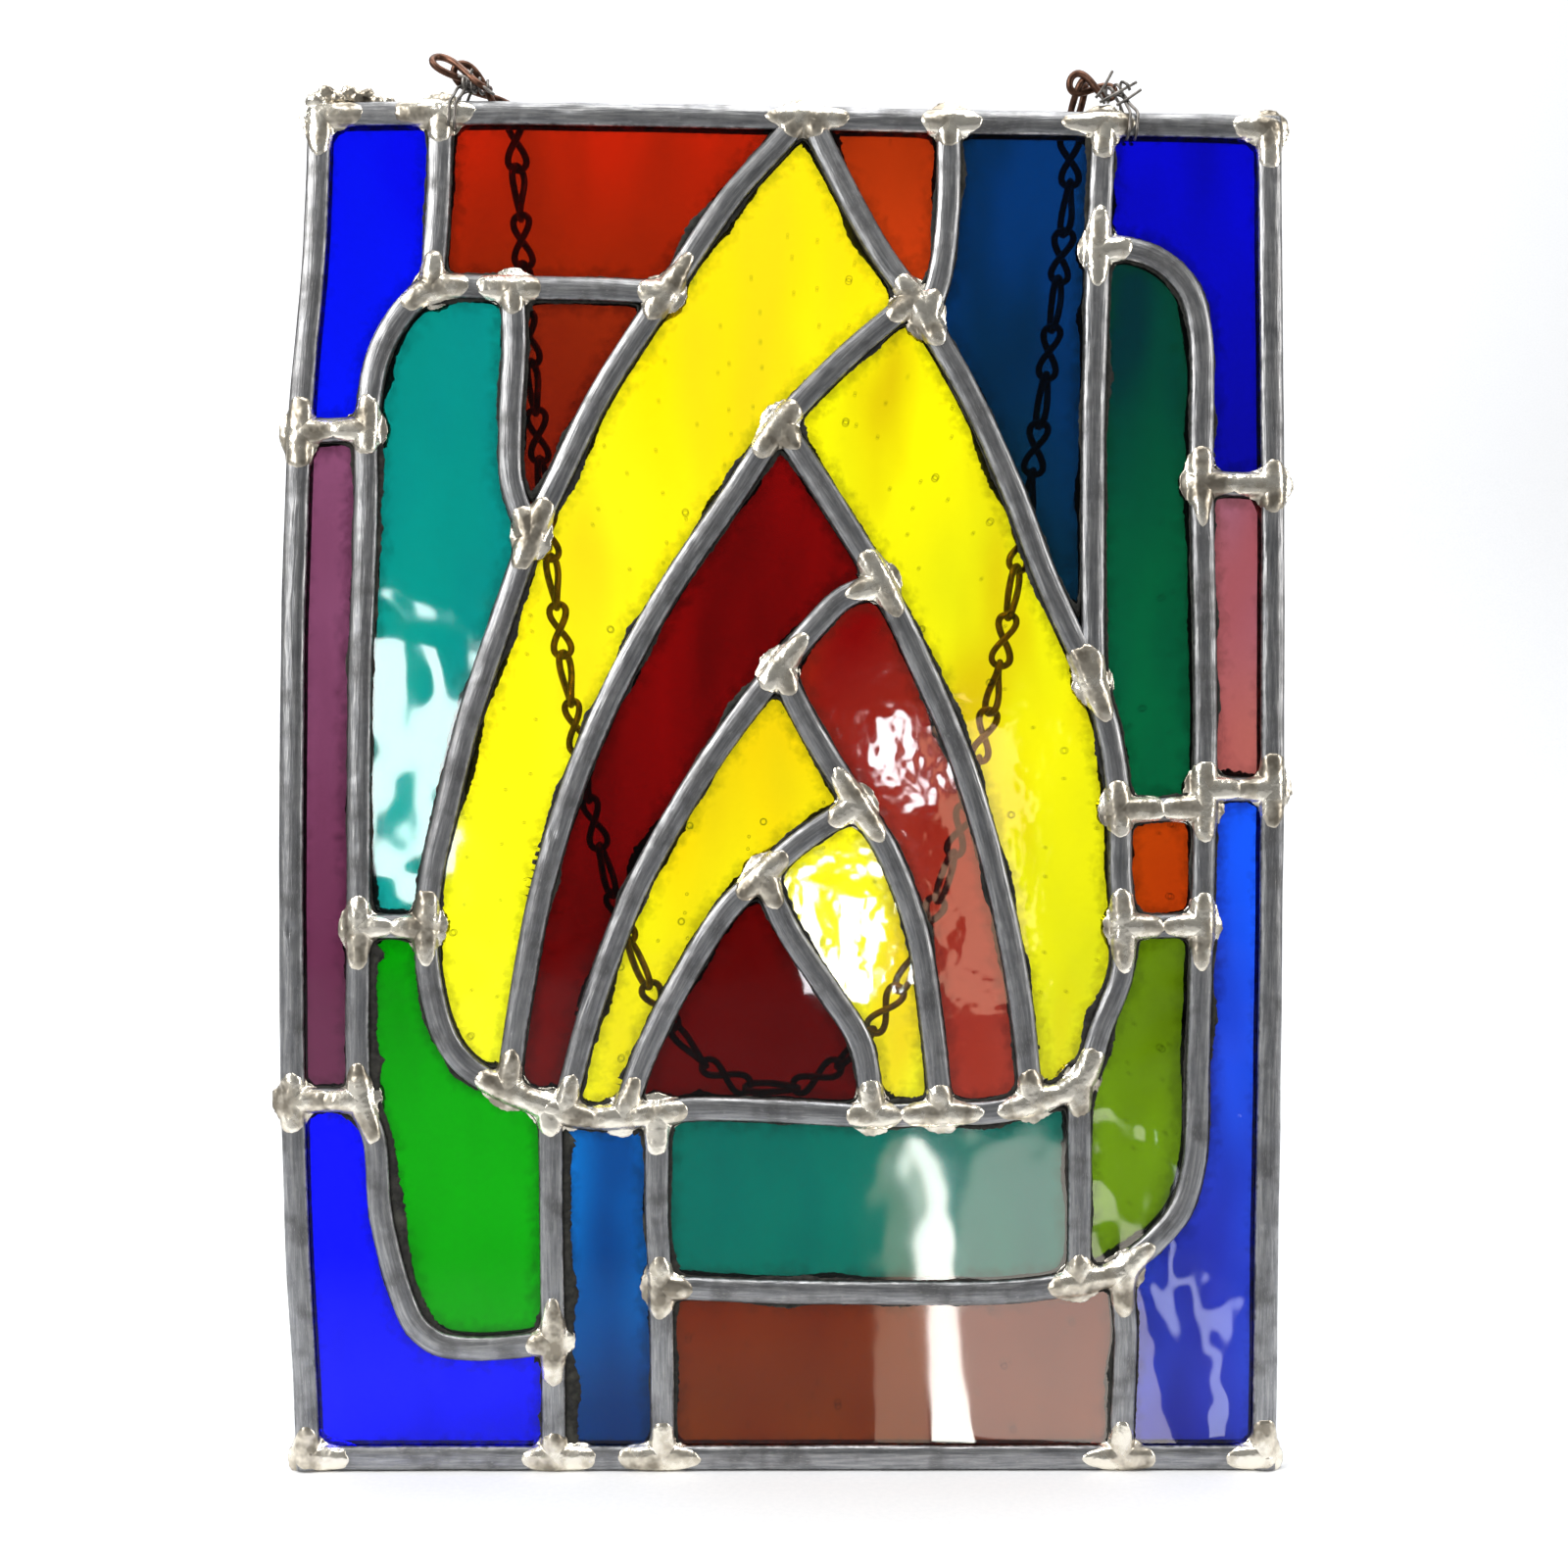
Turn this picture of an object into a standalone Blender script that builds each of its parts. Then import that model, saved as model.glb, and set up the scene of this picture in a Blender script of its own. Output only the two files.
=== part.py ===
# Leaded stained glass window panel with a flame pattern, two wire ties and a hanging chain.
# It stands upright: +X to the viewer's right, +Z up, and the front faces -Y.
# Sizes below are in millimetres and are turned to metres when a mesh is made.
import bmesh
import bpy
import math
from mathutils import Vector

PANEL_WIDTH = 204.0
PANEL_HEIGHT = 284.0
GLASS_THICKNESS = 3.0
GLASS_PLAY = 0.3
CAME_FACE = 4.9
CAME_HEART = 1.2
FLANGE_EDGE = 0.5
FLANGE_CROWN = 0.95
EDGE_PLAY = 0.35
JOINT_GAP = 0.3
CHAIN_WIRE = 1.4
CHAIN_PITCH = 10.5
CHAIN_LOOP_WIDTH = 4.9
CHAIN_BEHIND = 3.2
CHAIN_SAG = 207.0
CHAIN_CURVE = 19.1
CHAIN_LEAN = 4.0
TIE_WIRE = 0.9
TIE_RISE = 7.2
TIE_SHARE = 0.331
TIE_GAP = 0.3

TIE_POSITION = PANEL_WIDTH * TIE_SHARE
HALF_GLASS = GLASS_THICKNESS / 2
FLANGE_INNER = HALF_GLASS + GLASS_PLAY
EDGE_Y = FLANGE_INNER + FLANGE_EDGE
CROWN_Y = FLANGE_INNER + FLANGE_CROWN
CHAIN_Y = CROWN_Y + CHAIN_BEHIND + CHAIN_LOOP_WIDTH / 2

# Joints between leads, as percent of the panel's width and height from its middle.
JOINTS = {
    "corner_tl": (-50, 50), "corner_tr": (50, 50), "corner_br": (50, -50), "corner_bl": (-50, -50),
    "bar_top": (-36.5, 50.3), "bar_foot": (-37.3, 36.5), "notch_top": (-29.1, 36.6),
    "notch_foot": (-27, 18.2), "shoulder": (-13.4, 36.4), "apex": (0.6, 50.3),
    "rung_a_left": (-51.8, 25.8), "rung_a_right": (-43.8, 26.1), "rung_b_left": (-44.2, -10.4),
    "rung_b_right": (-37.4, -10.4), "rung_c_left": (-51.9, -23.1), "rung_c_right": (-43.8, -23.1),
    "sweep_end": (-24.1, -40.7), "post_a_foot": (-23.9, -50), "gold_foot": (-29, -22.3),
    "base_left": (-24.6, -23.6), "ember_foot": (-23.3, -23.9), "core_foot_left": (-17.2, -24.2),
    "post_b_top": (-13.7, -24), "core_foot_right": (8.5, -24.1), "inner_foot": (15.4, -23.9),
    "wing_foot": (24.8, -23.1), "base_right": (29.6, -21.6), "tip": (12.1, 36.2),
    "strut_top": (15.6, 50.2), "strut_foot": (13.3, 34.8), "pier_top": (31.7, 50.2),
    "pier_foot": (30.8, 7.9), "arch_top": (31.1, 40), "rung_d_left": (41.9, 22.8),
    "rung_d_right": (50.5, 22.6), "rung_e_left": (42.4, 0.1), "rung_e_right": (50.6, 0.1),
    "rung_f_left": (33.6, -1.5), "rung_f_right": (42.4, -1.3), "rung_g_left": (34.1, -10.1),
    "rung_g_right": (42.2, -10), "fork_one": (-1.5, 26.8), "fork_two": (8.9, 15.2),
    "fork_three": (-1.5, 8.8), "fork_four": (6.6, -1.2), "fork_five": (-3, -6.4),
    "sill_post_foot": (29.7, -36.3), "arch_end": (34.5, -35.5), "sill_left": (-13.2, -36.7),
    "post_b_foot": (-12.8, -50), "post_c_foot": (34, -50),
}

# Border leads follow the panel's outer edge.
BORDERS = {
    "border_top": ["corner_tl", (-43.1, 50.2), "bar_top", (-21.2, 50.4), "apex", "strut_top", "pier_top",
                   "corner_tr"],
    "border_left": ["corner_tl", (-50.5, 38.9), (-51.6, 28.5), "rung_a_left", (-52.3, 12.7), (-52.2, -11.7),
                    "rung_c_left", (-51.2, -35.3), (-50.4, -43.8), "corner_bl"],
    "border_right": ["corner_tr", (50.2, 37.1), "rung_d_right", "rung_e_right", (50.2, -35.4),
                     "corner_br"],
    "border_bottom": ["corner_bl", "post_a_foot", "post_b_foot", "post_c_foot", "corner_br"],
}

# Inner leads follow their centrelines.
LEADS = {
    "lead_upper_bar": ["bar_top", (-36.8, 42), "bar_foot"],
    "lead_shelf": ["bar_foot", "notch_top", "shoulder"],
    "lead_left_sweep": ["bar_foot", (-39.4, 35.5), (-41.4, 33.6), (-43, 30.9), "rung_a_right", (-44.3, 7),
                        "rung_b_left", "rung_c_right", (-42.4, -25.9), (-41.7, -31.3), (-39.7, -36.9),
                        (-35.9, -40.8), (-32.6, -41.2), "sweep_end"],
    "lead_rung_a": ["rung_a_left", "rung_a_right"],
    "lead_rung_b": ["rung_b_left", "rung_b_right"],
    "lead_rung_c": ["rung_c_left", "rung_c_right"],
    "lead_notch": ["notch_top", (-29.2, 26.6), "notch_foot"],
    "lead_flame_left": ["apex", (-0.5, 48.8), (-6.8, 43.5), "shoulder", (-20, 28.9), (-23.7, 23.4),
                        "notch_foot", (-30.1, 11.8), (-33.4, 4.4), (-35.9, -3.5), "rung_b_right",
                        (-36.9, -14.4), (-35.2, -18.6), (-32.9, -20.7), "gold_foot", "base_left"],
    "lead_flame_base": ["base_left", "ember_foot", "core_foot_left", "post_b_top", (-8, -23.7),
                        "core_foot_right", "inner_foot", "wing_foot", "base_right"],
    "lead_flame_right": ["apex", (1.8, 48.7), (4.8, 44.4), (8.6, 39.6), "tip", "strut_foot",
                         (17.6, 29.5), (22.4, 22.1), (26.3, 15), "pier_foot", (32.4, 4.4),
                         "rung_f_left", "rung_g_left", (33.9, -13.6), (31.9, -17.4), "base_right"],
    "lead_strut": ["strut_top", (15.5, 42.4), (14.7, 37.7), "strut_foot"],
    "lead_pier": ["pier_top", "arch_top", (30.7, 26.7), (30.7, 18), "pier_foot"],
    "lead_right_arch": ["arch_top", (34.5, 40.1), (37.8, 39.2), (40.4, 37.3), (41.7, 34.2),
                        "rung_d_left", "rung_e_left", "rung_f_right", "rung_g_right", (41.5, -27.5),
                        (40, -31.1), (37.5, -33.3), "arch_end"],
    "lead_rung_d": ["rung_d_left", "rung_d_right"],
    "lead_rung_e": ["rung_e_left", "rung_e_right"],
    "lead_rung_f": ["rung_f_left", "rung_f_right"],
    "lead_rung_g": ["rung_g_left", "rung_g_right"],
    "lead_gold_left": ["tip", (5.1, 31.8), "fork_one", (-6.5, 21.4), (-12.8, 14.6), (-18.3, 7.3),
                       (-22.5, 0.1), (-25.7, -7.7), (-27.8, -16.1), "gold_foot"],
    "lead_gold_right": ["fork_one", (4.3, 20.5), "fork_two", (12.6, 9.9), (17, 2.6),
                        (20.5, -5.3), (23.2, -14.3), "wing_foot"],
    "lead_ember_left": ["fork_two", (5, 14), (2.4, 12.2), "fork_three", (-7.4, 3.2),
                        (-11.9, -2), (-16.4, -8.2), (-20.3, -15.9), "ember_foot"],
    "lead_inner_right": ["fork_three", (1.6, 4.5), "fork_four", (9.6, -4.5), (12.8, -10.5),
                         (14.4, -17.2), "inner_foot"],
    "lead_core_left": ["fork_four", (1.3, -3.7), "fork_five", (-6.7, -9), (-11.4, -14.4),
                       (-15, -19.7), "core_foot_left"],
    "lead_core_right": ["fork_five", (-0.4, -10.5), (3.9, -15.1), (7.1, -18.8), "core_foot_right"],
    "lead_sill_post": ["base_right", (29.7, -29.7), "sill_post_foot"],
    "lead_sill": ["sill_left", (-1.8, -37), (23.2, -37), "sill_post_foot", "arch_end"],
    "lead_post_b": ["post_b_top", "sill_left", "post_b_foot"],
    "lead_post_a": ["base_left", "sweep_end", "post_a_foot"],
    "lead_post_c": ["arch_end", (34.5, -40.5), "post_c_foot"],
}

# What each lead end meets: the leads that it butts on, or the one lead that carries on from it.
BUTTS = {
    ("border_top", 0): ["border_left"], ("border_top", 1): ["border_right"],
    ("border_bottom", 0): ["border_left"], ("border_bottom", 1): ["border_right"],
    ("lead_upper_bar", 0): ["border_top"], ("lead_upper_bar", 1): ["lead_shelf", "lead_left_sweep"],
    ("lead_shelf", 1): ["lead_flame_left"], ("lead_left_sweep", 1): ["lead_post_a"],
    ("lead_rung_a", 0): ["border_left"], ("lead_rung_a", 1): ["lead_left_sweep"],
    ("lead_rung_b", 0): ["lead_left_sweep"], ("lead_rung_b", 1): ["lead_flame_left"],
    ("lead_rung_c", 0): ["border_left"], ("lead_rung_c", 1): ["lead_left_sweep"],
    ("lead_notch", 0): ["lead_shelf"], ("lead_notch", 1): ["lead_flame_left"],
    ("lead_flame_left", 0): ["border_top"], ("lead_flame_right", 0): ["border_top", "lead_flame_left"],
    ("lead_strut", 0): ["border_top"], ("lead_strut", 1): ["lead_flame_right"],
    ("lead_pier", 0): ["border_top"], ("lead_pier", 1): ["lead_flame_right"],
    ("lead_right_arch", 0): ["lead_pier"],
    ("lead_rung_d", 0): ["lead_right_arch"], ("lead_rung_d", 1): ["border_right"],
    ("lead_rung_e", 0): ["lead_right_arch"], ("lead_rung_e", 1): ["border_right"],
    ("lead_rung_f", 0): ["lead_flame_right"], ("lead_rung_f", 1): ["lead_right_arch"],
    ("lead_rung_g", 0): ["lead_flame_right"], ("lead_rung_g", 1): ["lead_right_arch"],
    ("lead_gold_left", 0): ["lead_flame_right"], ("lead_gold_left", 1): ["lead_flame_left"],
    ("lead_gold_right", 0): ["lead_gold_left"], ("lead_gold_right", 1): ["lead_flame_base"],
    ("lead_ember_left", 0): ["lead_gold_right"],
    ("lead_ember_left", 1): ["lead_flame_base", "lead_flame_left"],
    ("lead_inner_right", 0): ["lead_ember_left"], ("lead_inner_right", 1): ["lead_flame_base"],
    ("lead_core_left", 0): ["lead_inner_right"], ("lead_core_left", 1): ["lead_flame_base"],
    ("lead_core_right", 0): ["lead_core_left"], ("lead_core_right", 1): ["lead_flame_base"],
    ("lead_sill_post", 0): ["lead_flame_base", "lead_flame_right"], ("lead_sill_post", 1): ["lead_sill"],
    ("lead_sill", 0): ["lead_post_b"], ("lead_sill", 1): ["lead_right_arch", "lead_post_c"],
    ("lead_post_b", 0): ["lead_flame_base"], ("lead_post_b", 1): ["border_bottom"],
    ("lead_post_a", 0): ["lead_flame_left", "lead_flame_base"], ("lead_post_a", 1): ["border_bottom"],
    ("lead_post_c", 1): ["border_bottom"],
}
CARRIES_ON = {
    ("lead_shelf", 0): "lead_left_sweep", ("lead_left_sweep", 0): "lead_shelf",
    ("lead_flame_left", 1): "lead_flame_base", ("lead_flame_base", 0): "lead_flame_left",
    ("lead_flame_base", 1): "lead_flame_right", ("lead_flame_right", 1): "lead_flame_base",
    ("lead_right_arch", 1): "lead_post_c", ("lead_post_c", 0): "lead_right_arch",
}

# Each pane runs clockwise, seen from the front, along stretches of lead from joint to joint.
PANES = {
    "pane_top_left": ("glass_blue", [
        ("border_top", "corner_tl", "bar_top"), ("lead_upper_bar", "bar_top", "bar_foot"),
        ("lead_left_sweep", "bar_foot", "rung_a_right"), ("lead_rung_a", "rung_a_right", "rung_a_left"),
        ("border_left", "rung_a_left", "corner_tl")]),
    "pane_top_flame_side": ("glass_orange_red", [
        ("border_top", "bar_top", "apex"), ("lead_flame_left", "apex", "shoulder"),
        ("lead_shelf", "shoulder", "bar_foot"), ("lead_upper_bar", "bar_foot", "bar_top")]),
    "pane_notch": ("glass_ruby", [
        ("lead_shelf", "notch_top", "shoulder"), ("lead_flame_left", "shoulder", "notch_foot"),
        ("lead_notch", "notch_foot", "notch_top")]),
    "pane_left_tall": ("glass_teal", [
        ("lead_shelf", "bar_foot", "notch_top"), ("lead_notch", "notch_top", "notch_foot"),
        ("lead_flame_left", "notch_foot", "rung_b_right"), ("lead_rung_b", "rung_b_right", "rung_b_left"),
        ("lead_left_sweep", "rung_b_left", "bar_foot")]),
    "pane_left_strip": ("glass_mauve", [
        ("lead_rung_a", "rung_a_left", "rung_a_right"), ("lead_left_sweep", "rung_a_right", "rung_c_right"),
        ("lead_rung_c", "rung_c_right", "rung_c_left"), ("border_left", "rung_c_left", "rung_a_left")]),
    "pane_lower_left": ("glass_green", [
        ("lead_rung_b", "rung_b_left", "rung_b_right"), ("lead_flame_left", "rung_b_right", "base_left"),
        ("lead_post_a", "base_left", "sweep_end"), ("lead_left_sweep", "sweep_end", "rung_b_left")]),
    "pane_bottom_corner_left": ("glass_blue", [
        ("lead_rung_c", "rung_c_left", "rung_c_right"), ("lead_left_sweep", "rung_c_right", "sweep_end"),
        ("lead_post_a", "sweep_end", "post_a_foot"), ("border_bottom", "post_a_foot", "corner_bl"),
        ("border_left", "corner_bl", "rung_c_left")]),
    "pane_gold_left": ("glass_yellow", [
        ("lead_flame_right", "apex", "tip"), ("lead_gold_left", "tip", "gold_foot"),
        ("lead_flame_left", "gold_foot", "apex")]),
    "pane_gold_right": ("glass_yellow", [
        ("lead_flame_right", "tip", "base_right"), ("lead_flame_base", "base_right", "wing_foot"),
        ("lead_gold_right", "wing_foot", "fork_one"), ("lead_gold_left", "fork_one", "tip")]),
    "pane_ember_left": ("glass_ruby", [
        ("lead_gold_right", "fork_one", "fork_two"), ("lead_ember_left", "fork_two", "ember_foot"),
        ("lead_flame_base", "ember_foot", "base_left"), ("lead_flame_left", "base_left", "gold_foot"),
        ("lead_gold_left", "gold_foot", "fork_one")]),
    "pane_ember_right": ("glass_ruby", [
        ("lead_gold_right", "fork_two", "wing_foot"), ("lead_flame_base", "wing_foot", "inner_foot"),
        ("lead_inner_right", "inner_foot", "fork_three"), ("lead_ember_left", "fork_three", "fork_two")]),
    "pane_inner_left": ("glass_gold", [
        ("lead_inner_right", "fork_three", "fork_four"), ("lead_core_left", "fork_four", "core_foot_left"),
        ("lead_flame_base", "core_foot_left", "ember_foot"),
        ("lead_ember_left", "ember_foot", "fork_three")]),
    "pane_inner_right": ("glass_gold", [
        ("lead_inner_right", "fork_four", "inner_foot"),
        ("lead_flame_base", "inner_foot", "core_foot_right"),
        ("lead_core_right", "core_foot_right", "fork_five"), ("lead_core_left", "fork_five", "fork_four")]),
    "pane_core": ("glass_ruby", [
        ("lead_core_right", "fork_five", "core_foot_right"),
        ("lead_flame_base", "core_foot_right", "core_foot_left"),
        ("lead_core_left", "core_foot_left", "fork_five")]),
    "pane_top_wedge": ("glass_orange_red", [
        ("border_top", "apex", "strut_top"), ("lead_strut", "strut_top", "strut_foot"),
        ("lead_flame_right", "strut_foot", "apex")]),
    "pane_top_right_inner": ("glass_deep_teal", [
        ("border_top", "strut_top", "pier_top"), ("lead_pier", "pier_top", "pier_foot"),
        ("lead_flame_right", "pier_foot", "strut_foot"), ("lead_strut", "strut_foot", "strut_top")]),
    "pane_top_right": ("glass_deep_blue", [
        ("border_top", "pier_top", "corner_tr"), ("border_right", "corner_tr", "rung_d_right"),
        ("lead_rung_d", "rung_d_right", "rung_d_left"), ("lead_right_arch", "rung_d_left", "arch_top"),
        ("lead_pier", "arch_top", "pier_top")]),
    "pane_right_tall": ("glass_green_teal", [
        ("lead_right_arch", "arch_top", "rung_f_right"), ("lead_rung_f", "rung_f_right", "rung_f_left"),
        ("lead_flame_right", "rung_f_left", "pier_foot"), ("lead_pier", "pier_foot", "arch_top")]),
    "pane_right_strip": ("glass_mauve", [
        ("lead_rung_d", "rung_d_left", "rung_d_right"), ("border_right", "rung_d_right", "rung_e_right"),
        ("lead_rung_e", "rung_e_right", "rung_e_left"), ("lead_right_arch", "rung_e_left", "rung_d_left")]),
    "pane_square": ("glass_orange", [
        ("lead_rung_f", "rung_f_left", "rung_f_right"), ("lead_right_arch", "rung_f_right", "rung_g_right"),
        ("lead_rung_g", "rung_g_right", "rung_g_left"), ("lead_flame_right", "rung_g_left", "rung_f_left")]),
    "pane_bottom_corner_right": ("glass_blue", [
        ("lead_rung_e", "rung_e_left", "rung_e_right"), ("border_right", "rung_e_right", "corner_br"),
        ("border_bottom", "corner_br", "post_c_foot"), ("lead_post_c", "post_c_foot", "arch_end"),
        ("lead_right_arch", "arch_end", "rung_e_left")]),
    "pane_lower_right": ("glass_olive", [
        ("lead_rung_g", "rung_g_left", "rung_g_right"), ("lead_right_arch", "rung_g_right", "arch_end"),
        ("lead_sill", "arch_end", "sill_post_foot"), ("lead_sill_post", "sill_post_foot", "base_right"),
        ("lead_flame_right", "base_right", "rung_g_left")]),
    "pane_sill": ("glass_teal", [
        ("lead_flame_base", "post_b_top", "base_right"), ("lead_sill_post", "base_right", "sill_post_foot"),
        ("lead_sill", "sill_post_foot", "sill_left"), ("lead_post_b", "sill_left", "post_b_top")]),
    "pane_bottom_left_middle": ("glass_sea_blue", [
        ("lead_flame_base", "base_left", "post_b_top"), ("lead_post_b", "post_b_top", "post_b_foot"),
        ("border_bottom", "post_b_foot", "post_a_foot"), ("lead_post_a", "post_a_foot", "base_left")]),
    "pane_bottom_middle": ("glass_amber", [
        ("lead_sill", "sill_left", "arch_end"), ("lead_post_c", "arch_end", "post_c_foot"),
        ("border_bottom", "post_c_foot", "post_b_foot"), ("lead_post_b", "post_b_foot", "sill_left")]),
}

# Colour, roughness and metalness of each material.
COLOURS = {
    "lead": ((0.30, 0.30, 0.31), 0.5, 0.9),
    "tie_wire": ((0.42, 0.42, 0.42), 0.4, 0.9),
    "chain_copper": ((0.36, 0.17, 0.10), 0.4, 0.9),
    "glass_blue": ((0.01, 0.02, 0.80), 0.08, 0.0),
    "glass_deep_blue": ((0.01, 0.03, 0.45), 0.08, 0.0),
    "glass_sea_blue": ((0.01, 0.12, 0.40), 0.08, 0.0),
    "glass_teal": ((0.01, 0.26, 0.22), 0.08, 0.0),
    "glass_deep_teal": ((0.01, 0.06, 0.12), 0.08, 0.0),
    "glass_green": ((0.01, 0.30, 0.01), 0.08, 0.0),
    "glass_green_teal": ((0.01, 0.16, 0.08), 0.08, 0.0),
    "glass_olive": ((0.10, 0.20, 0.01), 0.08, 0.0),
    "glass_mauve": ((0.24, 0.10, 0.20), 0.08, 0.0),
    "glass_ruby": ((0.20, 0.01, 0.01), 0.08, 0.0),
    "glass_orange_red": ((0.50, 0.03, 0.01), 0.08, 0.0),
    "glass_orange": ((0.42, 0.12, 0.01), 0.08, 0.0),
    "glass_amber": ((0.40, 0.16, 0.05), 0.08, 0.0),
    "glass_yellow": ((0.90, 0.78, 0.01), 0.08, 0.0),
    "glass_gold": ((0.75, 0.50, 0.01), 0.08, 0.0),
}
MATERIALS = {}


def clear_scene():
    for old in list(bpy.data.objects):
        bpy.data.objects.remove(old, do_unlink=True)


def material(name):
    if name not in MATERIALS:
        made = bpy.data.materials.new(name)
        made.use_nodes = True
        shader = made.node_tree.nodes["Principled BSDF"]
        colour, roughness, metallic = COLOURS[name]
        shader.inputs["Base Color"].default_value = (*colour, 1.0)
        shader.inputs["Roughness"].default_value = roughness
        shader.inputs["Metallic"].default_value = metallic
        made.diffuse_color = (*colour, 1.0)
        MATERIALS[name] = made
    return MATERIALS[name]


def add_object(name, points, faces, slot, smooth=False):
    mesh = bpy.data.meshes.new(name)
    mesh.from_pydata([tuple(c / 1000 for c in p) for p in points], [], faces)
    shell = bmesh.new()
    shell.from_mesh(mesh)
    bmesh.ops.recalc_face_normals(shell, faces=shell.faces)
    shell.to_mesh(mesh)
    shell.free()
    mesh.materials.append(material(slot))
    if smooth:
        mesh.shade_smooth()
    made = bpy.data.objects.new(name, mesh)
    bpy.context.collection.objects.link(made)
    return made


def place(share):
    """A point of the panel's plane in millimetres, from percent of its width and height."""
    return Vector((share[0] / 100 * PANEL_WIDTH, (share[1] / 100 - 0.5) * PANEL_HEIGHT))


def path_points(path):
    return [place(JOINTS[p] if isinstance(p, str) else p) for p in path]


def whole_path(name):
    return BORDERS[name] if name in BORDERS else LEADS[name]


def left_of(direction):
    return Vector((-direction.y, direction.x))


def mitre(before, here, after):
    """The sideways step at a bend that keeps an offset line one unit away from both stretches."""
    into = (here - before).normalized() if before else (after - here).normalized()
    out = (after - here).normalized() if after else into
    side = (left_of(into) + left_of(out)).normalized()
    return side / max(0.3, side.dot(left_of(out)))


def distance_to_path(point, path):
    nearest = 1e9
    for start, end in zip(path, path[1:]):
        along = end - start
        share = max(0.0, min(1.0, (point - start).dot(along) / along.length_squared))
        nearest = min(nearest, (point - start - along * share).length)
    return nearest


def point_along(line, reach):
    """The point at a length along a line of points, and the number of points passed."""
    for number, (start, end) in enumerate(zip(line, line[1:])):
        length = (end - start).length
        if reach <= length or number == len(line) - 2:
            return start + (end - start) * (reach / length), number
        reach -= length


def trimmed_start(line, cutters):
    """Where a profile line comes clear of the leads that it butts on: the point and its stretch."""
    reach = 0.0
    while reach < 60:
        point, number = point_along(line, reach)
        if all(distance_to_path(point, path) >= clear for path, clear in cutters):
            return point, number
        reach += 0.05
    return line[0], 0


def cutters_for(name, end):
    found = []
    for other in BUTTS.get((name, end), []):
        face = CAME_FACE if other in BORDERS else CAME_FACE / 2
        found.append((path_points(whole_path(other)), face + JOINT_GAP))
    return found


def next_point(name, end):
    """The point after a lead's end on the lead that carries on from it."""
    other = CARRIES_ON.get((name, end))
    if not other:
        return None
    shared = whole_path(name)[-1 if end else 0]
    path = LEADS[other]
    number = path.index(shared)
    return path_points(path)[number + 1 if number == 0 else number - 1]


def side_line(centre, before, after, offset):
    """A line at one offset from a lead's path, on the left of its run when the offset is positive."""
    line = []
    for number, here in enumerate(centre):
        back = centre[number - 1] if number else before
        ahead = centre[number + 1] if number + 1 < len(centre) else after
        line.append(here + mitre(back, here, ahead) * offset)
    return line


def profile_rings(name, profile):
    """Rings of points for a lead: its profile at each bend, with both ends trimmed."""
    centre = path_points(whole_path(name))
    before = next_point(name, 0)
    after = next_point(name, 1)
    offsets = sorted({s for s, y in profile})
    starts = {}
    ends = {}
    lines = {s: side_line(centre, before, after, s) for s in offsets}
    first_kept = 1
    last_kept = len(centre) - 2
    for end, found in ((0, starts), (1, ends)):
        cutters = cutters_for(name, end)
        for s in offsets:
            line = lines[s] if end == 0 else lines[s][::-1]
            if cutters:
                found[s], passed = trimmed_start(line, cutters)
            elif CARRIES_ON.get((name, end)):
                found[s] = line[0] + (line[1] - line[0]).normalized() * JOINT_GAP / 2
                passed = 0
            else:
                found[s], passed = line[0], 0
            if end == 0:
                first_kept = max(first_kept, passed + 1)
            else:
                last_kept = min(last_kept, len(centre) - 2 - passed)
    rings = [[(starts[s], y) for s, y in profile]]
    for number in range(first_kept, last_kept + 1):
        rings.append([(lines[s][number], y) for s, y in profile])
    rings.append([(ends[s], y) for s, y in profile])
    return rings


def sweep(name, profile, cap, slot):
    """A lead's solid from rings of its profile, with both caps made of four-sided faces."""
    rings = profile_rings(name, profile)
    size = len(profile)
    points = [(p.x, y, p.y) for ring in rings for p, y in ring]
    faces = []
    for number in range(len(rings) - 1):
        for k in range(size):
            a = number * size + k
            b = number * size + (k + 1) % size
            faces.append((a, b, b + size, a + size))
    top = (len(rings) - 1) * size
    for face in cap:
        faces.append(tuple(reversed(face)))
        faces.append(tuple(top + k for k in face))
    return add_object(name, points, faces, slot)


def inner_lead(name):
    """An H-shaped lead: two domed flanges joined by a heart between the panes."""
    half = CAME_FACE / 2
    heart = CAME_HEART / 2
    crown = half * 0.45
    upper = [(-heart, FLANGE_INNER), (-half, FLANGE_INNER), (-half, EDGE_Y), (-crown, CROWN_Y),
             (crown, CROWN_Y), (half, EDGE_Y), (half, FLANGE_INNER), (heart, FLANGE_INNER)]
    lower = [(-s, -y) for s, y in upper]
    cap = [(1, 2, 3, 0), (0, 3, 4, 7), (7, 4, 5, 6), (0, 7, 8, 15), (9, 10, 11, 8), (8, 11, 12, 15),
           (15, 12, 13, 14)]
    return sweep(name, upper + lower, cap, "lead")


def border_lead(name):
    """A U-shaped lead round the outside, with its heart on the panel's outer edge."""
    inward = -1 if name in ("border_top", "border_right") else 1
    shoulder = CAME_FACE * 0.2
    flat = CAME_FACE * 0.75
    half = [(0.0, EDGE_Y), (shoulder, CROWN_Y), (flat, CROWN_Y), (CAME_FACE, EDGE_Y),
            (CAME_FACE, FLANGE_INNER), (CAME_HEART, FLANGE_INNER)]
    other = [(s, -y) for s, y in reversed(half)]
    profile = [(s * inward, y) for s, y in half + other]
    cap = [(0, 1, 2, 5), (5, 2, 3, 4), (0, 5, 6, 11), (11, 6, 9, 10), (6, 7, 8, 9)]
    return sweep(name, profile, cap, "lead")


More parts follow.
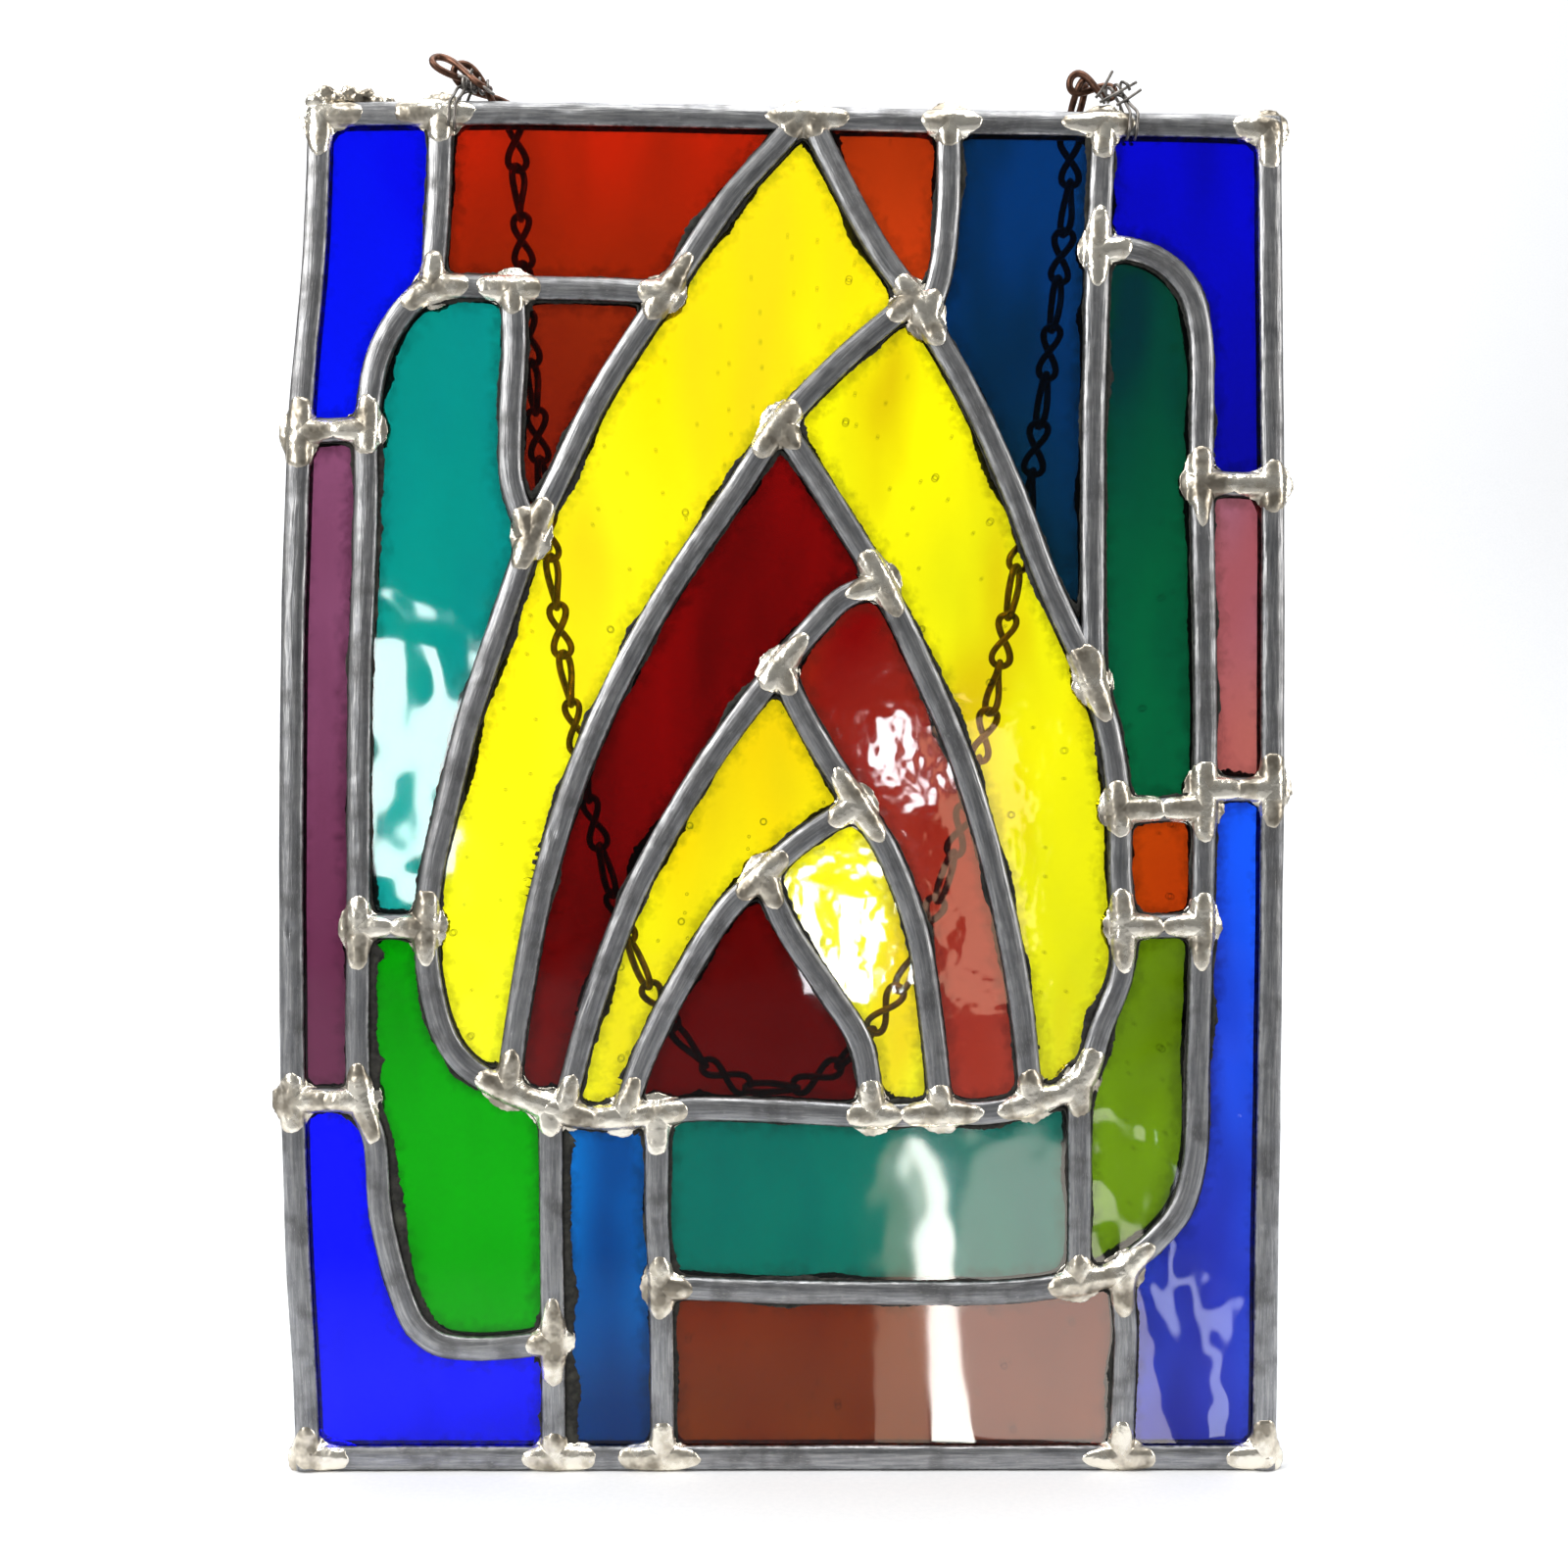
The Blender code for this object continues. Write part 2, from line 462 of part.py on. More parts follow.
def stretch(name, start, end):
    """The points of a lead's path between two of its joints, in that order."""
    path = whole_path(name)
    first, last = path.index(start), path.index(end)
    points = path_points(path)
    if first <= last:
        return points[first:last + 1]
    return points[last:first + 1][::-1]


def crossing(a, b, c, d):
    """Where the line through a and b crosses the line through c and d, or None when parallel."""
    ab = b - a
    cd = d - c
    turn = ab.x * cd.y - ab.y * cd.x
    if abs(turn) < 1e-3 * ab.length * cd.length:
        return None
    ac = c - a
    return a + ab * ((ac.x * cd.y - ac.y * cd.x) / turn)


def pane(name):
    """A pane cut to lie in its leads' channels, clear of their hearts all round."""
    slot, stretches = PANES[name]
    edges = []
    for lead, start, end in stretches:
        inset = CAME_HEART + EDGE_PLAY if lead in BORDERS else CAME_HEART / 2 + EDGE_PLAY
        points = stretch(lead, start, end)
        edges += [(a, b, inset) for a, b in zip(points, points[1:])]
    moved = []
    for a, b, inset in edges:
        step = left_of((b - a).normalized()) * -inset
        moved.append((a + step, b + step))
    outline = []
    for number, (c, d) in enumerate(moved):
        a, b = moved[number - 1]
        corner = crossing(a, b, c, d)
        outline.append(corner if corner else (b + c) / 2)
    count = len(outline)
    points = [(p.x, -HALF_GLASS, p.y) for p in outline] + [(p.x, HALF_GLASS, p.y) for p in outline]
    faces = [tuple(range(count)), tuple(range(2 * count - 1, count - 1, -1))]
    for k in range(count):
        after = (k + 1) % count
        faces.append((k, k + count, after + count, after))
    return add_object(name, points, faces, slot)


def chain_path():
    """Points of the chain's middle, from the left tie over the top edge, down and up again."""
    start = Vector((-TIE_POSITION + 0.8, 0.0, TIE_RISE - TIE_WIRE - 1.6))
    top = Vector((-TIE_POSITION + 11.5, CHAIN_Y * 0.55, TIE_RISE - 2.2))
    lowest = -CHAIN_SAG
    span = CHAIN_CURVE * math.acosh(1 + CHAIN_SAG / CHAIN_CURVE)
    steps = 160
    hang = []
    for k in range(steps + 1):
        x = -span + 2 * span * k / steps
        z = lowest + CHAIN_CURVE * (math.cosh(x / CHAIN_CURVE) - 1)
        hang.append(Vector((x + CHAIN_LEAN * z / CHAIN_SAG, CHAIN_Y, z)))
    left = [start, top]
    right = [Vector((-p.x, p.y, p.z)) for p in reversed(left)]
    return left + hang + right


def links_along(path):
    """Joints one link apart along the chain's path, stretched a little to end on its last point."""
    total = sum((b - a).length for a, b in zip(path, path[1:]))
    count = round(total / CHAIN_PITCH)
    step = total / count
    joints = [path[0]]
    walked = 0.0
    target = step
    for a, b in zip(path, path[1:]):
        length = (b - a).length
        while target <= walked + length + 1e-6 and len(joints) < count:
            joints.append(a + (b - a) * ((target - walked) / length))
            target += step
        walked += length
    joints.append(path[-1])
    return joints


def link_points(start, end, across, through):
    """One figure-8 link: outer and inner loop points on its two flat faces."""
    along = end - start
    half = CHAIN_LOOP_WIDTH / 2
    wire = CHAIN_WIRE
    eye = half - wire
    shape = [(0.02, wire / 2), (0.14, half), (0.36, half), (0.5, wire * 0.62), (0.64, half), (0.86, half),
             (0.98, wire / 2)]
    outer = shape + [(s, -w) for s, w in reversed(shape)]
    holes = []
    for middle in (0.25, 0.75):
        reach = 0.245 - wire / along.length
        holes += [(middle - reach, 0.0), (middle, eye), (middle + reach, 0.0), (middle, -eye)]
    layers = []
    for side in (-0.5, 0.5):
        layers += [start + along * s + across * w + through * wire * side for s, w in outer + holes]
    return layers


def link_faces(offset, first, last):
    """Faces of one link. The ends that meet a neighbour are left open."""
    top = 22
    ring_a = [(0, 1, 14), (1, 15, 14), (1, 2, 15), (2, 16, 15), (2, 3, 16), (3, 10, 16), (10, 11, 16),
              (11, 17, 16), (11, 12, 17), (12, 14, 17), (12, 13, 14), (13, 0, 14)]
    ring_b = [(3, 4, 18), (4, 19, 18), (4, 5, 19), (5, 20, 19), (5, 6, 20), (6, 7, 20), (7, 8, 20),
              (8, 21, 20), (8, 9, 21), (9, 18, 21), (9, 10, 18), (10, 3, 18)]
    faces = [tuple(reversed(f)) for f in ring_a + ring_b]
    faces += [tuple(v + top for v in f) for f in ring_a + ring_b]
    for k in range(14):
        after = (k + 1) % 14
        open_end = (k == 6 and not last) or (k == 13 and not first)
        if not open_end:
            faces.append((k, after, after + top, k + top))
    for hole in (14, 18):
        for k in range(4):
            a, b = hole + k, hole + (k + 1) % 4
            faces.append((b, a, a + top, b + top))
    return [tuple(v + offset for v in f) for f in faces]


def chain():
    """The chain as one solid: figure-8 links, each turned a quarter from the last and joined on."""
    joints = links_along(chain_path())
    points = []
    faces = []
    size = 44
    count = len(joints) - 1
    for k in range(count):
        start, end = joints[k], joints[k + 1]
        forward = (end - start).normalized()
        level = Vector((0, 1, 0)) - forward * forward.y
        level.normalize()
        other = forward.cross(level)
        across, through = (other, level) if k % 2 == 0 else (level, -other)
        points += link_points(start, end, across, through)
        faces += link_faces(k * size, k == 0, k == count - 1)
        if k:
            old = (k - 1) * size
            new = k * size
            a = [old + 6, old + 7, old + 29, old + 28]
            b = [new + 0, new + 13, new + 35, new + 22]
            turn = 1 if (k - 1) % 2 == 0 else 3
            b = b[turn:] + b[:turn]
            for n in range(4):
                faces.append((a[n], b[n], b[(n + 1) % 4], a[(n + 1) % 4]))
    return add_object("hanging_chain", [tuple(p) for p in points], faces, "chain_copper")


def wire_tie(name, x):
    """A wire over the border: a leg down each face and an arch that holds the chain's end."""
    leg = CROWN_Y + TIE_GAP + TIE_WIRE / 2
    foot = -CAME_FACE + 0.4
    arch = TIE_RISE - TIE_WIRE / 2
    path = [Vector((leg * -1, foot)), Vector((-leg, TIE_GAP + 0.8)), Vector((-leg * 0.62, arch * 0.8)),
            Vector((0, arch)), Vector((leg * 0.62, arch * 0.8)), Vector((leg, TIE_GAP + 0.8)),
            Vector((leg, foot))]
    sides = 6
    points = []
    for number, here in enumerate(path):
        back = path[number - 1] if number else None
        ahead = path[number + 1] if number + 1 < len(path) else None
        side = mitre(back, here, ahead)
        for k in range(sides):
            angle = 2 * math.pi * k / sides
            shift = side * (math.cos(angle) * TIE_WIRE / 2)
            points.append((x + math.sin(angle) * TIE_WIRE / 2, here.x + shift.x, here.y + shift.y))
    faces = [tuple(range(sides)), tuple(range(len(points) - 1, len(points) - sides - 1, -1))]
    for number in range(len(path) - 1):
        for k in range(sides):
            a = number * sides + k
            b = number * sides + (k + 1) % sides
            faces.append((a, a + sides, b + sides, b))
    return add_object(name, points, faces, "tie_wire", smooth=True)


def build():
    clear_scene()
    for name in BORDERS:
        border_lead(name)
    for name in LEADS:
        inner_lead(name)
    for name in PANES:
        pane(name)
    wire_tie("tie_left", -TIE_POSITION)
    wire_tie("tie_right", TIE_POSITION)
    chain()


build()
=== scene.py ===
# Looks for the leaded stained glass panel: domed leads, solder, cement, wavy panes, wire and chain.
import math
import random

import bmesh
import bpy
import numpy as np
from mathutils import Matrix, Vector, noise
from mathutils.geometry import delaunay_2d_cdt, intersect_line_line_2d


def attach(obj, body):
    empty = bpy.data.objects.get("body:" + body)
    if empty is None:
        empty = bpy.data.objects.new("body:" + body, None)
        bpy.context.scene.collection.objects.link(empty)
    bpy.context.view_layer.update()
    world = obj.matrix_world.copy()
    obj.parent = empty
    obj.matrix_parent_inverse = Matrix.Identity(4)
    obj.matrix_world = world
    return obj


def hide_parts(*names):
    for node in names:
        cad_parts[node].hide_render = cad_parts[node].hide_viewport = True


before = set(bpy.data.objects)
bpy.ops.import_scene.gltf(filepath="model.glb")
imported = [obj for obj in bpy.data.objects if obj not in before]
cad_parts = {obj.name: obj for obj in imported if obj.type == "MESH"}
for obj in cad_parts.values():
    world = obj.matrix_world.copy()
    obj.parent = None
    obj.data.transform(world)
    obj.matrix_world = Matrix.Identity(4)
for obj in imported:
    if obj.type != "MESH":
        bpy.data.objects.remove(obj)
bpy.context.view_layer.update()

# Sizes in millimetres, the same as the solids'.
PANEL_WIDTH = 204.0
PANEL_HEIGHT = 284.0
HALF_GLASS = 1.5
FLANGE_INNER = 1.8
CROWN_Y = 2.75
CAME_FACE = 4.9
CAME_HALF = CAME_FACE / 2
CAME_HEART = 1.2
EDGE_PLAY = 0.35

# How far a lead's domed face stands proud of its solid, and how thick its flange is at the edge.
PROUD = 0.32
FLANGE_EDGE = 0.2

# Sides of the panel along y, and the step between points along a lead's curve.
FRONT = -1
BACK = 1
STEP = 0.9

# Joints between leads, as percent of the panel's width and height from its middle.
JOINTS = {
    "corner_tl": (-50, 50), "corner_tr": (50, 50), "corner_br": (50, -50), "corner_bl": (-50, -50),
    "bar_top": (-36.5, 50.3), "bar_foot": (-37.3, 36.5), "notch_top": (-29.1, 36.6),
    "notch_foot": (-27, 18.2), "shoulder": (-13.4, 36.4), "apex": (0.6, 50.3),
    "rung_a_left": (-51.8, 25.8), "rung_a_right": (-43.8, 26.1), "rung_b_left": (-44.2, -10.4),
    "rung_b_right": (-37.4, -10.4), "rung_c_left": (-51.9, -23.1), "rung_c_right": (-43.8, -23.1),
    "sweep_end": (-24.1, -40.7), "post_a_foot": (-23.9, -50), "gold_foot": (-29, -22.3),
    "base_left": (-24.6, -23.6), "ember_foot": (-23.3, -23.9), "core_foot_left": (-17.2, -24.2),
    "post_b_top": (-13.7, -24), "core_foot_right": (8.5, -24.1), "inner_foot": (15.4, -23.9),
    "wing_foot": (24.8, -23.1), "base_right": (29.6, -21.6), "tip": (12.1, 36.2),
    "strut_top": (15.6, 50.2), "strut_foot": (13.3, 34.8), "pier_top": (31.7, 50.2),
    "pier_foot": (30.8, 7.9), "arch_top": (31.1, 40), "rung_d_left": (41.9, 22.8),
    "rung_d_right": (50.5, 22.6), "rung_e_left": (42.4, 0.1), "rung_e_right": (50.6, 0.1),
    "rung_f_left": (33.6, -1.5), "rung_f_right": (42.4, -1.3), "rung_g_left": (34.1, -10.1),
    "rung_g_right": (42.2, -10), "fork_one": (-1.5, 26.8), "fork_two": (8.9, 15.2),
    "fork_three": (-1.5, 8.8), "fork_four": (6.6, -1.2), "fork_five": (-3, -6.4),
    "sill_post_foot": (29.7, -36.3), "arch_end": (34.5, -35.5), "sill_left": (-13.2, -36.7),
    "post_b_foot": (-12.8, -50), "post_c_foot": (34, -50),
}

# Border leads follow the panel's outer edge.
BORDERS = {
    "border_top": ["corner_tl", (-43.1, 50.2), "bar_top", (-21.2, 50.4), "apex", "strut_top", "pier_top",
        (41.2, 50.2), "corner_tr"],
    "border_left": ["corner_tl", (-50.5, 38.9), (-51.6, 28.5), "rung_a_left", (-52.3, 12.7), (-52.2, -11.7),
        "rung_c_left", (-51.2, -35.3), (-50.4, -43.8), "corner_bl"],
    "border_right": ["corner_tr", (50.2, 37.1), "rung_d_right", "rung_e_right", (50.4, -20.9),
        (50.2, -35.4), "corner_br"],
    "border_bottom": ["corner_bl", "post_a_foot", "post_b_foot", "post_c_foot", "corner_br"],
}

# Inner leads follow their centrelines.
LEADS = {
    "lead_upper_bar": ["bar_top", (-36.8, 42), "bar_foot"],
    "lead_shelf": ["bar_foot", "notch_top", (-20.1, 36.6), "shoulder"],
    "lead_left_sweep": ["bar_foot", (-39.4, 35.5), (-41.4, 33.6), (-43, 30.9), "rung_a_right",
        (-43.8, 21.4), (-44.3, 7), "rung_b_left", (-44.2, -18.8), "rung_c_right", (-42.4, -25.9),
        (-41.7, -31.3), (-39.7, -36.9), (-38.1, -39.5), (-35.9, -40.8), (-32.6, -41.2), (-28.6, -41.1),
        "sweep_end"],
    "lead_rung_a": ["rung_a_left", "rung_a_right"],
    "lead_rung_b": ["rung_b_left", "rung_b_right"],
    "lead_rung_c": ["rung_c_left", "rung_c_right"],
    "lead_notch": ["notch_top", (-28.9, 32.4), (-29.2, 26.6), (-29, 22.3), "notch_foot"],
    "lead_flame_left": ["apex", (-0.5, 48.8), (-6.8, 43.5), "shoulder", (-20, 28.9), (-23.7, 23.4),
        "notch_foot", (-30.1, 11.8), (-33.4, 4.4), (-35.3, -1.5), (-36.7, -6), "rung_b_right",
        (-36.9, -14.4), (-35.2, -18.6), (-32.9, -20.7), "gold_foot", "base_left"],
    "lead_flame_base": ["base_left", "ember_foot", (-20.5, -24.3), "core_foot_left", "post_b_top",
        (-10.3, -23.7), (-0.8, -23.8), "core_foot_right", "inner_foot", (20.7, -23.8), "wing_foot",
        "base_right"],
    "lead_flame_right": ["apex", (1.8, 48.7), (4.8, 44.4), (8.6, 39.6), "tip", "strut_foot", (17.6, 29.5),
        (22.4, 22.1), (26.3, 15), "pier_foot", (32.4, 4.4), "rung_f_left", (33.7, -6.2), "rung_g_left",
        (33.9, -13.6), (31.9, -17.4), "base_right"],
    "lead_strut": ["strut_top", (15.5, 42.4), (14.7, 37.7), "strut_foot"],
    "lead_pier": ["pier_top", "arch_top", (30.7, 26.7), (30.7, 18), "pier_foot"],
    "lead_right_arch": ["arch_top", (34.5, 40.1), (37.8, 39.2), (40.4, 37.3), (41.7, 34.2), "rung_d_left",
        (42.4, 8), "rung_e_left", "rung_f_right", "rung_g_right", (41.8, -20.3), (41.5, -27.5), (40, -31.1),
        (37.5, -33.3), "arch_end"],
    "lead_rung_d": ["rung_d_left", "rung_d_right"],
    "lead_rung_e": ["rung_e_left", "rung_e_right"],
    "lead_rung_f": ["rung_f_left", "rung_f_right"],
    "lead_rung_g": ["rung_g_left", "rung_g_right"],
    "lead_gold_left": ["tip", (5.1, 31.8), "fork_one", (-6.5, 21.4), (-12.8, 14.6), (-18.3, 7.3),
        (-22.5, 0.1), (-25.7, -7.7), (-27.8, -16.1), "gold_foot"],
    "lead_gold_right": ["fork_one", (4.3, 20.5), "fork_two", (12.6, 9.9), (17, 2.6), (20.5, -5.3),
        (23.2, -14.3), "wing_foot"],
    "lead_ember_left": ["fork_two", (5, 14), (2.4, 12.2), "fork_three", (-7.4, 3.2), (-11.9, -2),
        (-16.4, -8.2), (-20.3, -15.9), "ember_foot"],
    "lead_inner_right": ["fork_three", (1.6, 4.5), "fork_four", (9.6, -4.5), (12.8, -10.5), (14.4, -17.2),
        "inner_foot"],
    "lead_core_left": ["fork_four", (1.3, -3.7), "fork_five", (-6.7, -9), (-11.4, -14.4), (-15, -19.7),
        "core_foot_left"],
    "lead_core_right": ["fork_five", (-0.4, -10.5), (3.9, -15.1), (7.1, -18.8), "core_foot_right"],
    "lead_sill_post": ["base_right", (29.7, -29.7), "sill_post_foot"],
    "lead_sill": ["sill_left", (-1.8, -37), (11.2, -37.1), (23.2, -37), "sill_post_foot", "arch_end"],
    "lead_post_b": ["post_b_top", (-13.6, -31.4), "sill_left", "post_b_foot"],
    "lead_post_a": ["base_left", "sweep_end", "post_a_foot"],
    "lead_post_c": ["arch_end", (34.5, -40.5), "post_c_foot"],
}

# Each pane's slot, and the joints round it, clockwise as seen from the front.
PANES = {
    "pane_top_left": ("glass_blue", ["corner_tl", "bar_top", "bar_foot", "rung_a_right", "rung_a_left"]),
    "pane_top_flame_side": ("glass_orange_red", ["bar_top", "apex", "shoulder", "bar_foot"]),
    "pane_notch": ("glass_ruby", ["notch_top", "shoulder", "notch_foot"]),
    "pane_left_tall": ("glass_teal", ["bar_foot", "notch_top", "notch_foot", "rung_b_right", "rung_b_left"]),
    "pane_left_strip": ("glass_mauve", ["rung_a_left", "rung_a_right", "rung_c_right", "rung_c_left"]),
    "pane_lower_left": ("glass_green", ["rung_b_left", "rung_b_right", "base_left", "sweep_end"]),
    "pane_bottom_corner_left": ("glass_blue", ["rung_c_left", "rung_c_right", "sweep_end", "post_a_foot",
        "corner_bl"]),
    "pane_gold_left": ("glass_yellow", ["apex", "tip", "gold_foot"]),
    "pane_gold_right": ("glass_yellow", ["tip", "base_right", "wing_foot", "fork_one"]),
    "pane_ember_left": ("glass_ruby", ["fork_one", "fork_two", "ember_foot", "base_left", "gold_foot"]),
    "pane_ember_right": ("glass_ruby", ["fork_two", "wing_foot", "inner_foot", "fork_three"]),
    "pane_inner_left": ("glass_gold", ["fork_three", "fork_four", "core_foot_left", "ember_foot"]),
    "pane_inner_right": ("glass_gold", ["fork_four", "inner_foot", "core_foot_right", "fork_five"]),
    "pane_core": ("glass_ruby", ["fork_five", "core_foot_right", "core_foot_left"]),
    "pane_top_wedge": ("glass_orange_red", ["apex", "strut_top", "strut_foot"]),
    "pane_top_right_inner": ("glass_deep_teal", ["strut_top", "pier_top", "pier_foot", "strut_foot"]),
    "pane_top_right": ("glass_deep_blue", ["pier_top", "corner_tr", "rung_d_right", "rung_d_left",
        "arch_top"]),
    "pane_right_tall": ("glass_green_teal", ["arch_top", "rung_f_right", "rung_f_left", "pier_foot"]),
    "pane_right_strip": ("glass_mauve", ["rung_d_left", "rung_d_right", "rung_e_right", "rung_e_left"]),
    "pane_square": ("glass_orange", ["rung_f_left", "rung_f_right", "rung_g_right", "rung_g_left"]),
    "pane_bottom_corner_right": ("glass_blue", ["rung_e_left", "rung_e_right", "corner_br", "post_c_foot",
        "arch_end"]),
    "pane_lower_right": ("glass_olive", ["rung_g_left", "rung_g_right", "arch_end", "sill_post_foot",
        "base_right"]),
    "pane_sill": ("glass_teal", ["post_b_top", "base_right", "sill_post_foot", "sill_left"]),
    "pane_bottom_left_middle": ("glass_sea_blue", ["base_left", "post_b_top", "post_b_foot", "post_a_foot"]),
    "pane_bottom_middle": ("glass_amber", ["sill_left", "arch_end", "post_c_foot", "post_b_foot"]),
}

# Leads that carry on from another lead at their start, 0, or at their end, 1, without a break.
CARRIES_ON = {
    ("lead_shelf", 0): "lead_left_sweep", ("lead_left_sweep", 0): "lead_shelf",
    ("lead_flame_left", 1): "lead_flame_base", ("lead_flame_base", 0): "lead_flame_left",
    ("lead_flame_base", 1): "lead_flame_right", ("lead_flame_right", 1): "lead_flame_base",
    ("lead_right_arch", 1): "lead_post_c", ("lead_post_c", 0): "lead_right_arch",
}


# Curves of the leads

PATHS = {**BORDERS, **LEADS}


def place(share):
    """A point of the panel's plane in millimetres, from percent of its width and height."""
    return Vector((share[0] / 100 * PANEL_WIDTH, (share[1] / 100 - 0.5) * PANEL_HEIGHT))


def knots(name):
    return [place(JOINTS[p] if isinstance(p, str) else p) for p in PATHS[name]]


def beyond(name, end):
    """The point past a lead's end on the lead that carries on from it."""
    other = CARRIES_ON.get((name, end))
    if not other:
        return None
    number = PATHS[other].index(PATHS[name][-end])
    return knots(other)[1 if number == 0 else number - 1]


def rounded(a, b, c, d, share):
    """A point between b and c on a smooth curve through a, b, c and d, even when they are uneven."""
    ta = 0.0
    tb = ta + max(1e-6, (b - a).length) ** 0.5
    tc = tb + max(1e-6, (c - b).length) ** 0.5
    td = tc + max(1e-6, (d - c).length) ** 0.5
    t = tb + (tc - tb) * share
    ab = a * ((tb - t) / (tb - ta)) + b * ((t - ta) / (tb - ta))
    bc = b * ((tc - t) / (tc - tb)) + c * ((t - tb) / (tc - tb))
    cd = c * ((td - t) / (td - tc)) + d * ((t - tc) / (td - tc))
    abc = ab * ((tc - t) / (tc - ta)) + bc * ((t - ta) / (tc - ta))
    bcd = bc * ((td - t) / (td - tb)) + cd * ((t - tb) / (td - tb))
    return abc * ((tc - t) / (tc - tb)) + bcd * ((t - tb) / (tc - tb))


def smooth_run(name):
    """A lead's path as close points on a smooth curve, and the number of the point at each knot."""
    points = knots(name)
    first = beyond(name, 0) or points[0] * 2 - points[1]
    last = beyond(name, 1) or points[-1] * 2 - points[-2]
    padded = [first] + points + [last]
    run = [points[0]]
    marks = [0]
    for k in range(1, len(points)):
        steps = max(2, math.ceil((padded[k + 1] - padded[k]).length / STEP))
        for n in range(1, steps + 1):
            run.append(rounded(padded[k - 1], padded[k], padded[k + 1], padded[k + 2], n / steps))
        marks.append(len(run) - 1)
    return run, marks


def normals(run):
    """Unit vectors to the left of a run of points."""
    found = []
    for k in range(len(run)):
        ahead = run[min(k + 1, len(run) - 1)]
        back = run[max(k - 1, 0)]
        along = (ahead - back).normalized()
        found.append(Vector((-along.y, along.x)))
    return found


def inward(name):
    """The side of a border's path that faces the panel, 1 for its left."""
    return -1 if name in ("border_top", "border_right") else 1


def centre_run(name):
    """The middle line of a lead's face. A border's path is its outer edge, so it moves in by half."""
    run = RUNS[name][0]
    if name in LEADS:
        return run
    return [p + n * (CAME_HALF * inward(name)) for p, n in zip(run, normals(run))]


RUNS = {name: smooth_run(name) for name in PATHS}
CENTRES = {name: centre_run(name) for name in PATHS}


# Meshes

def new_object(name, points, faces, material, replaces=()):
    """A smooth piece on the part's one body, from points in millimetres."""
    mesh = bpy.data.meshes.new(name)
    mesh.from_pydata([tuple(c / 1000 for c in p) for p in points], [], faces)
    mesh.materials.append(material)
    made = bpy.data.objects.new(name, mesh)
    bpy.context.scene.collection.objects.link(made)
    shell = bmesh.new()
    shell.from_mesh(mesh)
    bmesh.ops.recalc_face_normals(shell, faces=shell.faces)
    shell.to_mesh(mesh)
    shell.free()
    mesh.shade_smooth()
    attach(made, "root")
    if replaces:
        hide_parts(*replaces)
    return made


def add_layer(made, name, values):
    """Stores one number per point, for the material to read."""
    layer = made.data.attributes.new(name, "FLOAT", "POINT")
    layer.data.foreach_set("value", np.array(values, np.float32))


def wave(x, y, z, scale, seed):
    """Smooth noise between -1 and 1 with features about one scale across, in millimetres."""
    return noise.noise(Vector((x / scale + seed, y / scale - seed * 0.7, z / scale + seed * 0.3)))


def seed_of(name, scale):
    """A number of its own for each name, the same in each run."""
    return sum(ord(c) for c in name) * scale


def array_of(points):
    return np.array([tuple(p) for p in points])


def band_faces(rings, size, closed=False):
    """Faces between rings of points that follow one another, back to the first ring if closed."""
    faces = []
    for ring in range(rings if closed else rings - 1):
        here = ring * size
        ahead = (ring + 1) % rings * size
        for k in range(size):
            after = (k + 1) % size
            faces.append((here + k, here + after, ahead + after, ahead + k))
    return faces


def joined(parts):
    """Points and faces of several parts as one."""
    points = []
    faces = []
    for part_points, part_faces in parts:
        start = len(points)
        points += part_points
        faces += [tuple(v + start for v in face) for face in part_faces]
    return points, faces


# Material nodes

def new_material(name):
    made = bpy.data.materials.new(name)
    made.use_nodes = True
    tree = made.node_tree
    return made, tree, tree.nodes["Principled BSDF"]


def fill(made, sockets):
    """Sets a node's sockets to plain values, or links them to the outputs of other nodes."""
    for key, value in sockets.items():
        if isinstance(value, bpy.types.NodeSocket):
            made.id_data.links.new(value, made.inputs[key])
        else:
            made.inputs[key].default_value = value


def node(tree, kind, **settings):
    """A new node, with its own settings set and then its sockets filled."""
    made = tree.nodes.new(kind)
    for key, value in settings.items():
        if key not in made.inputs:
            setattr(made, key, value)
    fill(made, {key: value for key, value in settings.items() if key in made.inputs})
    return made


def colour_ramp(tree, factor, stops):
    ramp = node(tree, "ShaderNodeValToRGB", Fac=factor)
    elements = ramp.color_ramp.elements
    while len(elements) < len(stops):
        elements.new(0.5)
    for element, (position, colour) in zip(elements, stops):
        element.position = position
        element.color = (*colour, 1.0)
    return ramp.outputs["Color"]


def noise_of(tree, scale, detail, stretch=(1, 1, 1), source="Object", roughness=0.55):
    """Noise over the object's own coordinates, in features per metre, or stretched one way."""
    coordinates = node(tree, "ShaderNodeTexCoord").outputs[source]
    mapping = node(tree, "ShaderNodeMapping", Vector=coordinates, Scale=stretch)
    made = node(tree, "ShaderNodeTexNoise", Vector=mapping.outputs["Vector"], Scale=scale, Detail=detail,
                Roughness=roughness)
    return made.outputs["Fac"]


def value_between(tree, factor, low, high, lowest=0.3, highest=0.7):
    """Maps a factor from lowest and highest to low and high."""
    made = node(tree, "ShaderNodeMapRange")
    fill(made, {"Value": factor, "From Min": lowest, "From Max": highest, "To Min": low, "To Max": high})
    return made.outputs["Result"]


def combined(tree, operation, first, second, clamp=False):
    made = node(tree, "ShaderNodeMath", operation=operation, use_clamp=clamp)
    tree.links.new(first, made.inputs[0])
    tree.links.new(second, made.inputs[1])
    return made.outputs[0]


def tinted(tree, factor, under, colour):
    """Lays one plain colour over what is under it, as far as the factor says."""
    made = node(tree, "ShaderNodeMix", data_type="RGBA", Factor=factor)
    first, second = [s for s in made.inputs if s.type == "RGBA"]
    tree.links.new(under, first)
    second.default_value = (*colour, 1.0)
    return [s for s in made.outputs if s.type == "RGBA"][0]


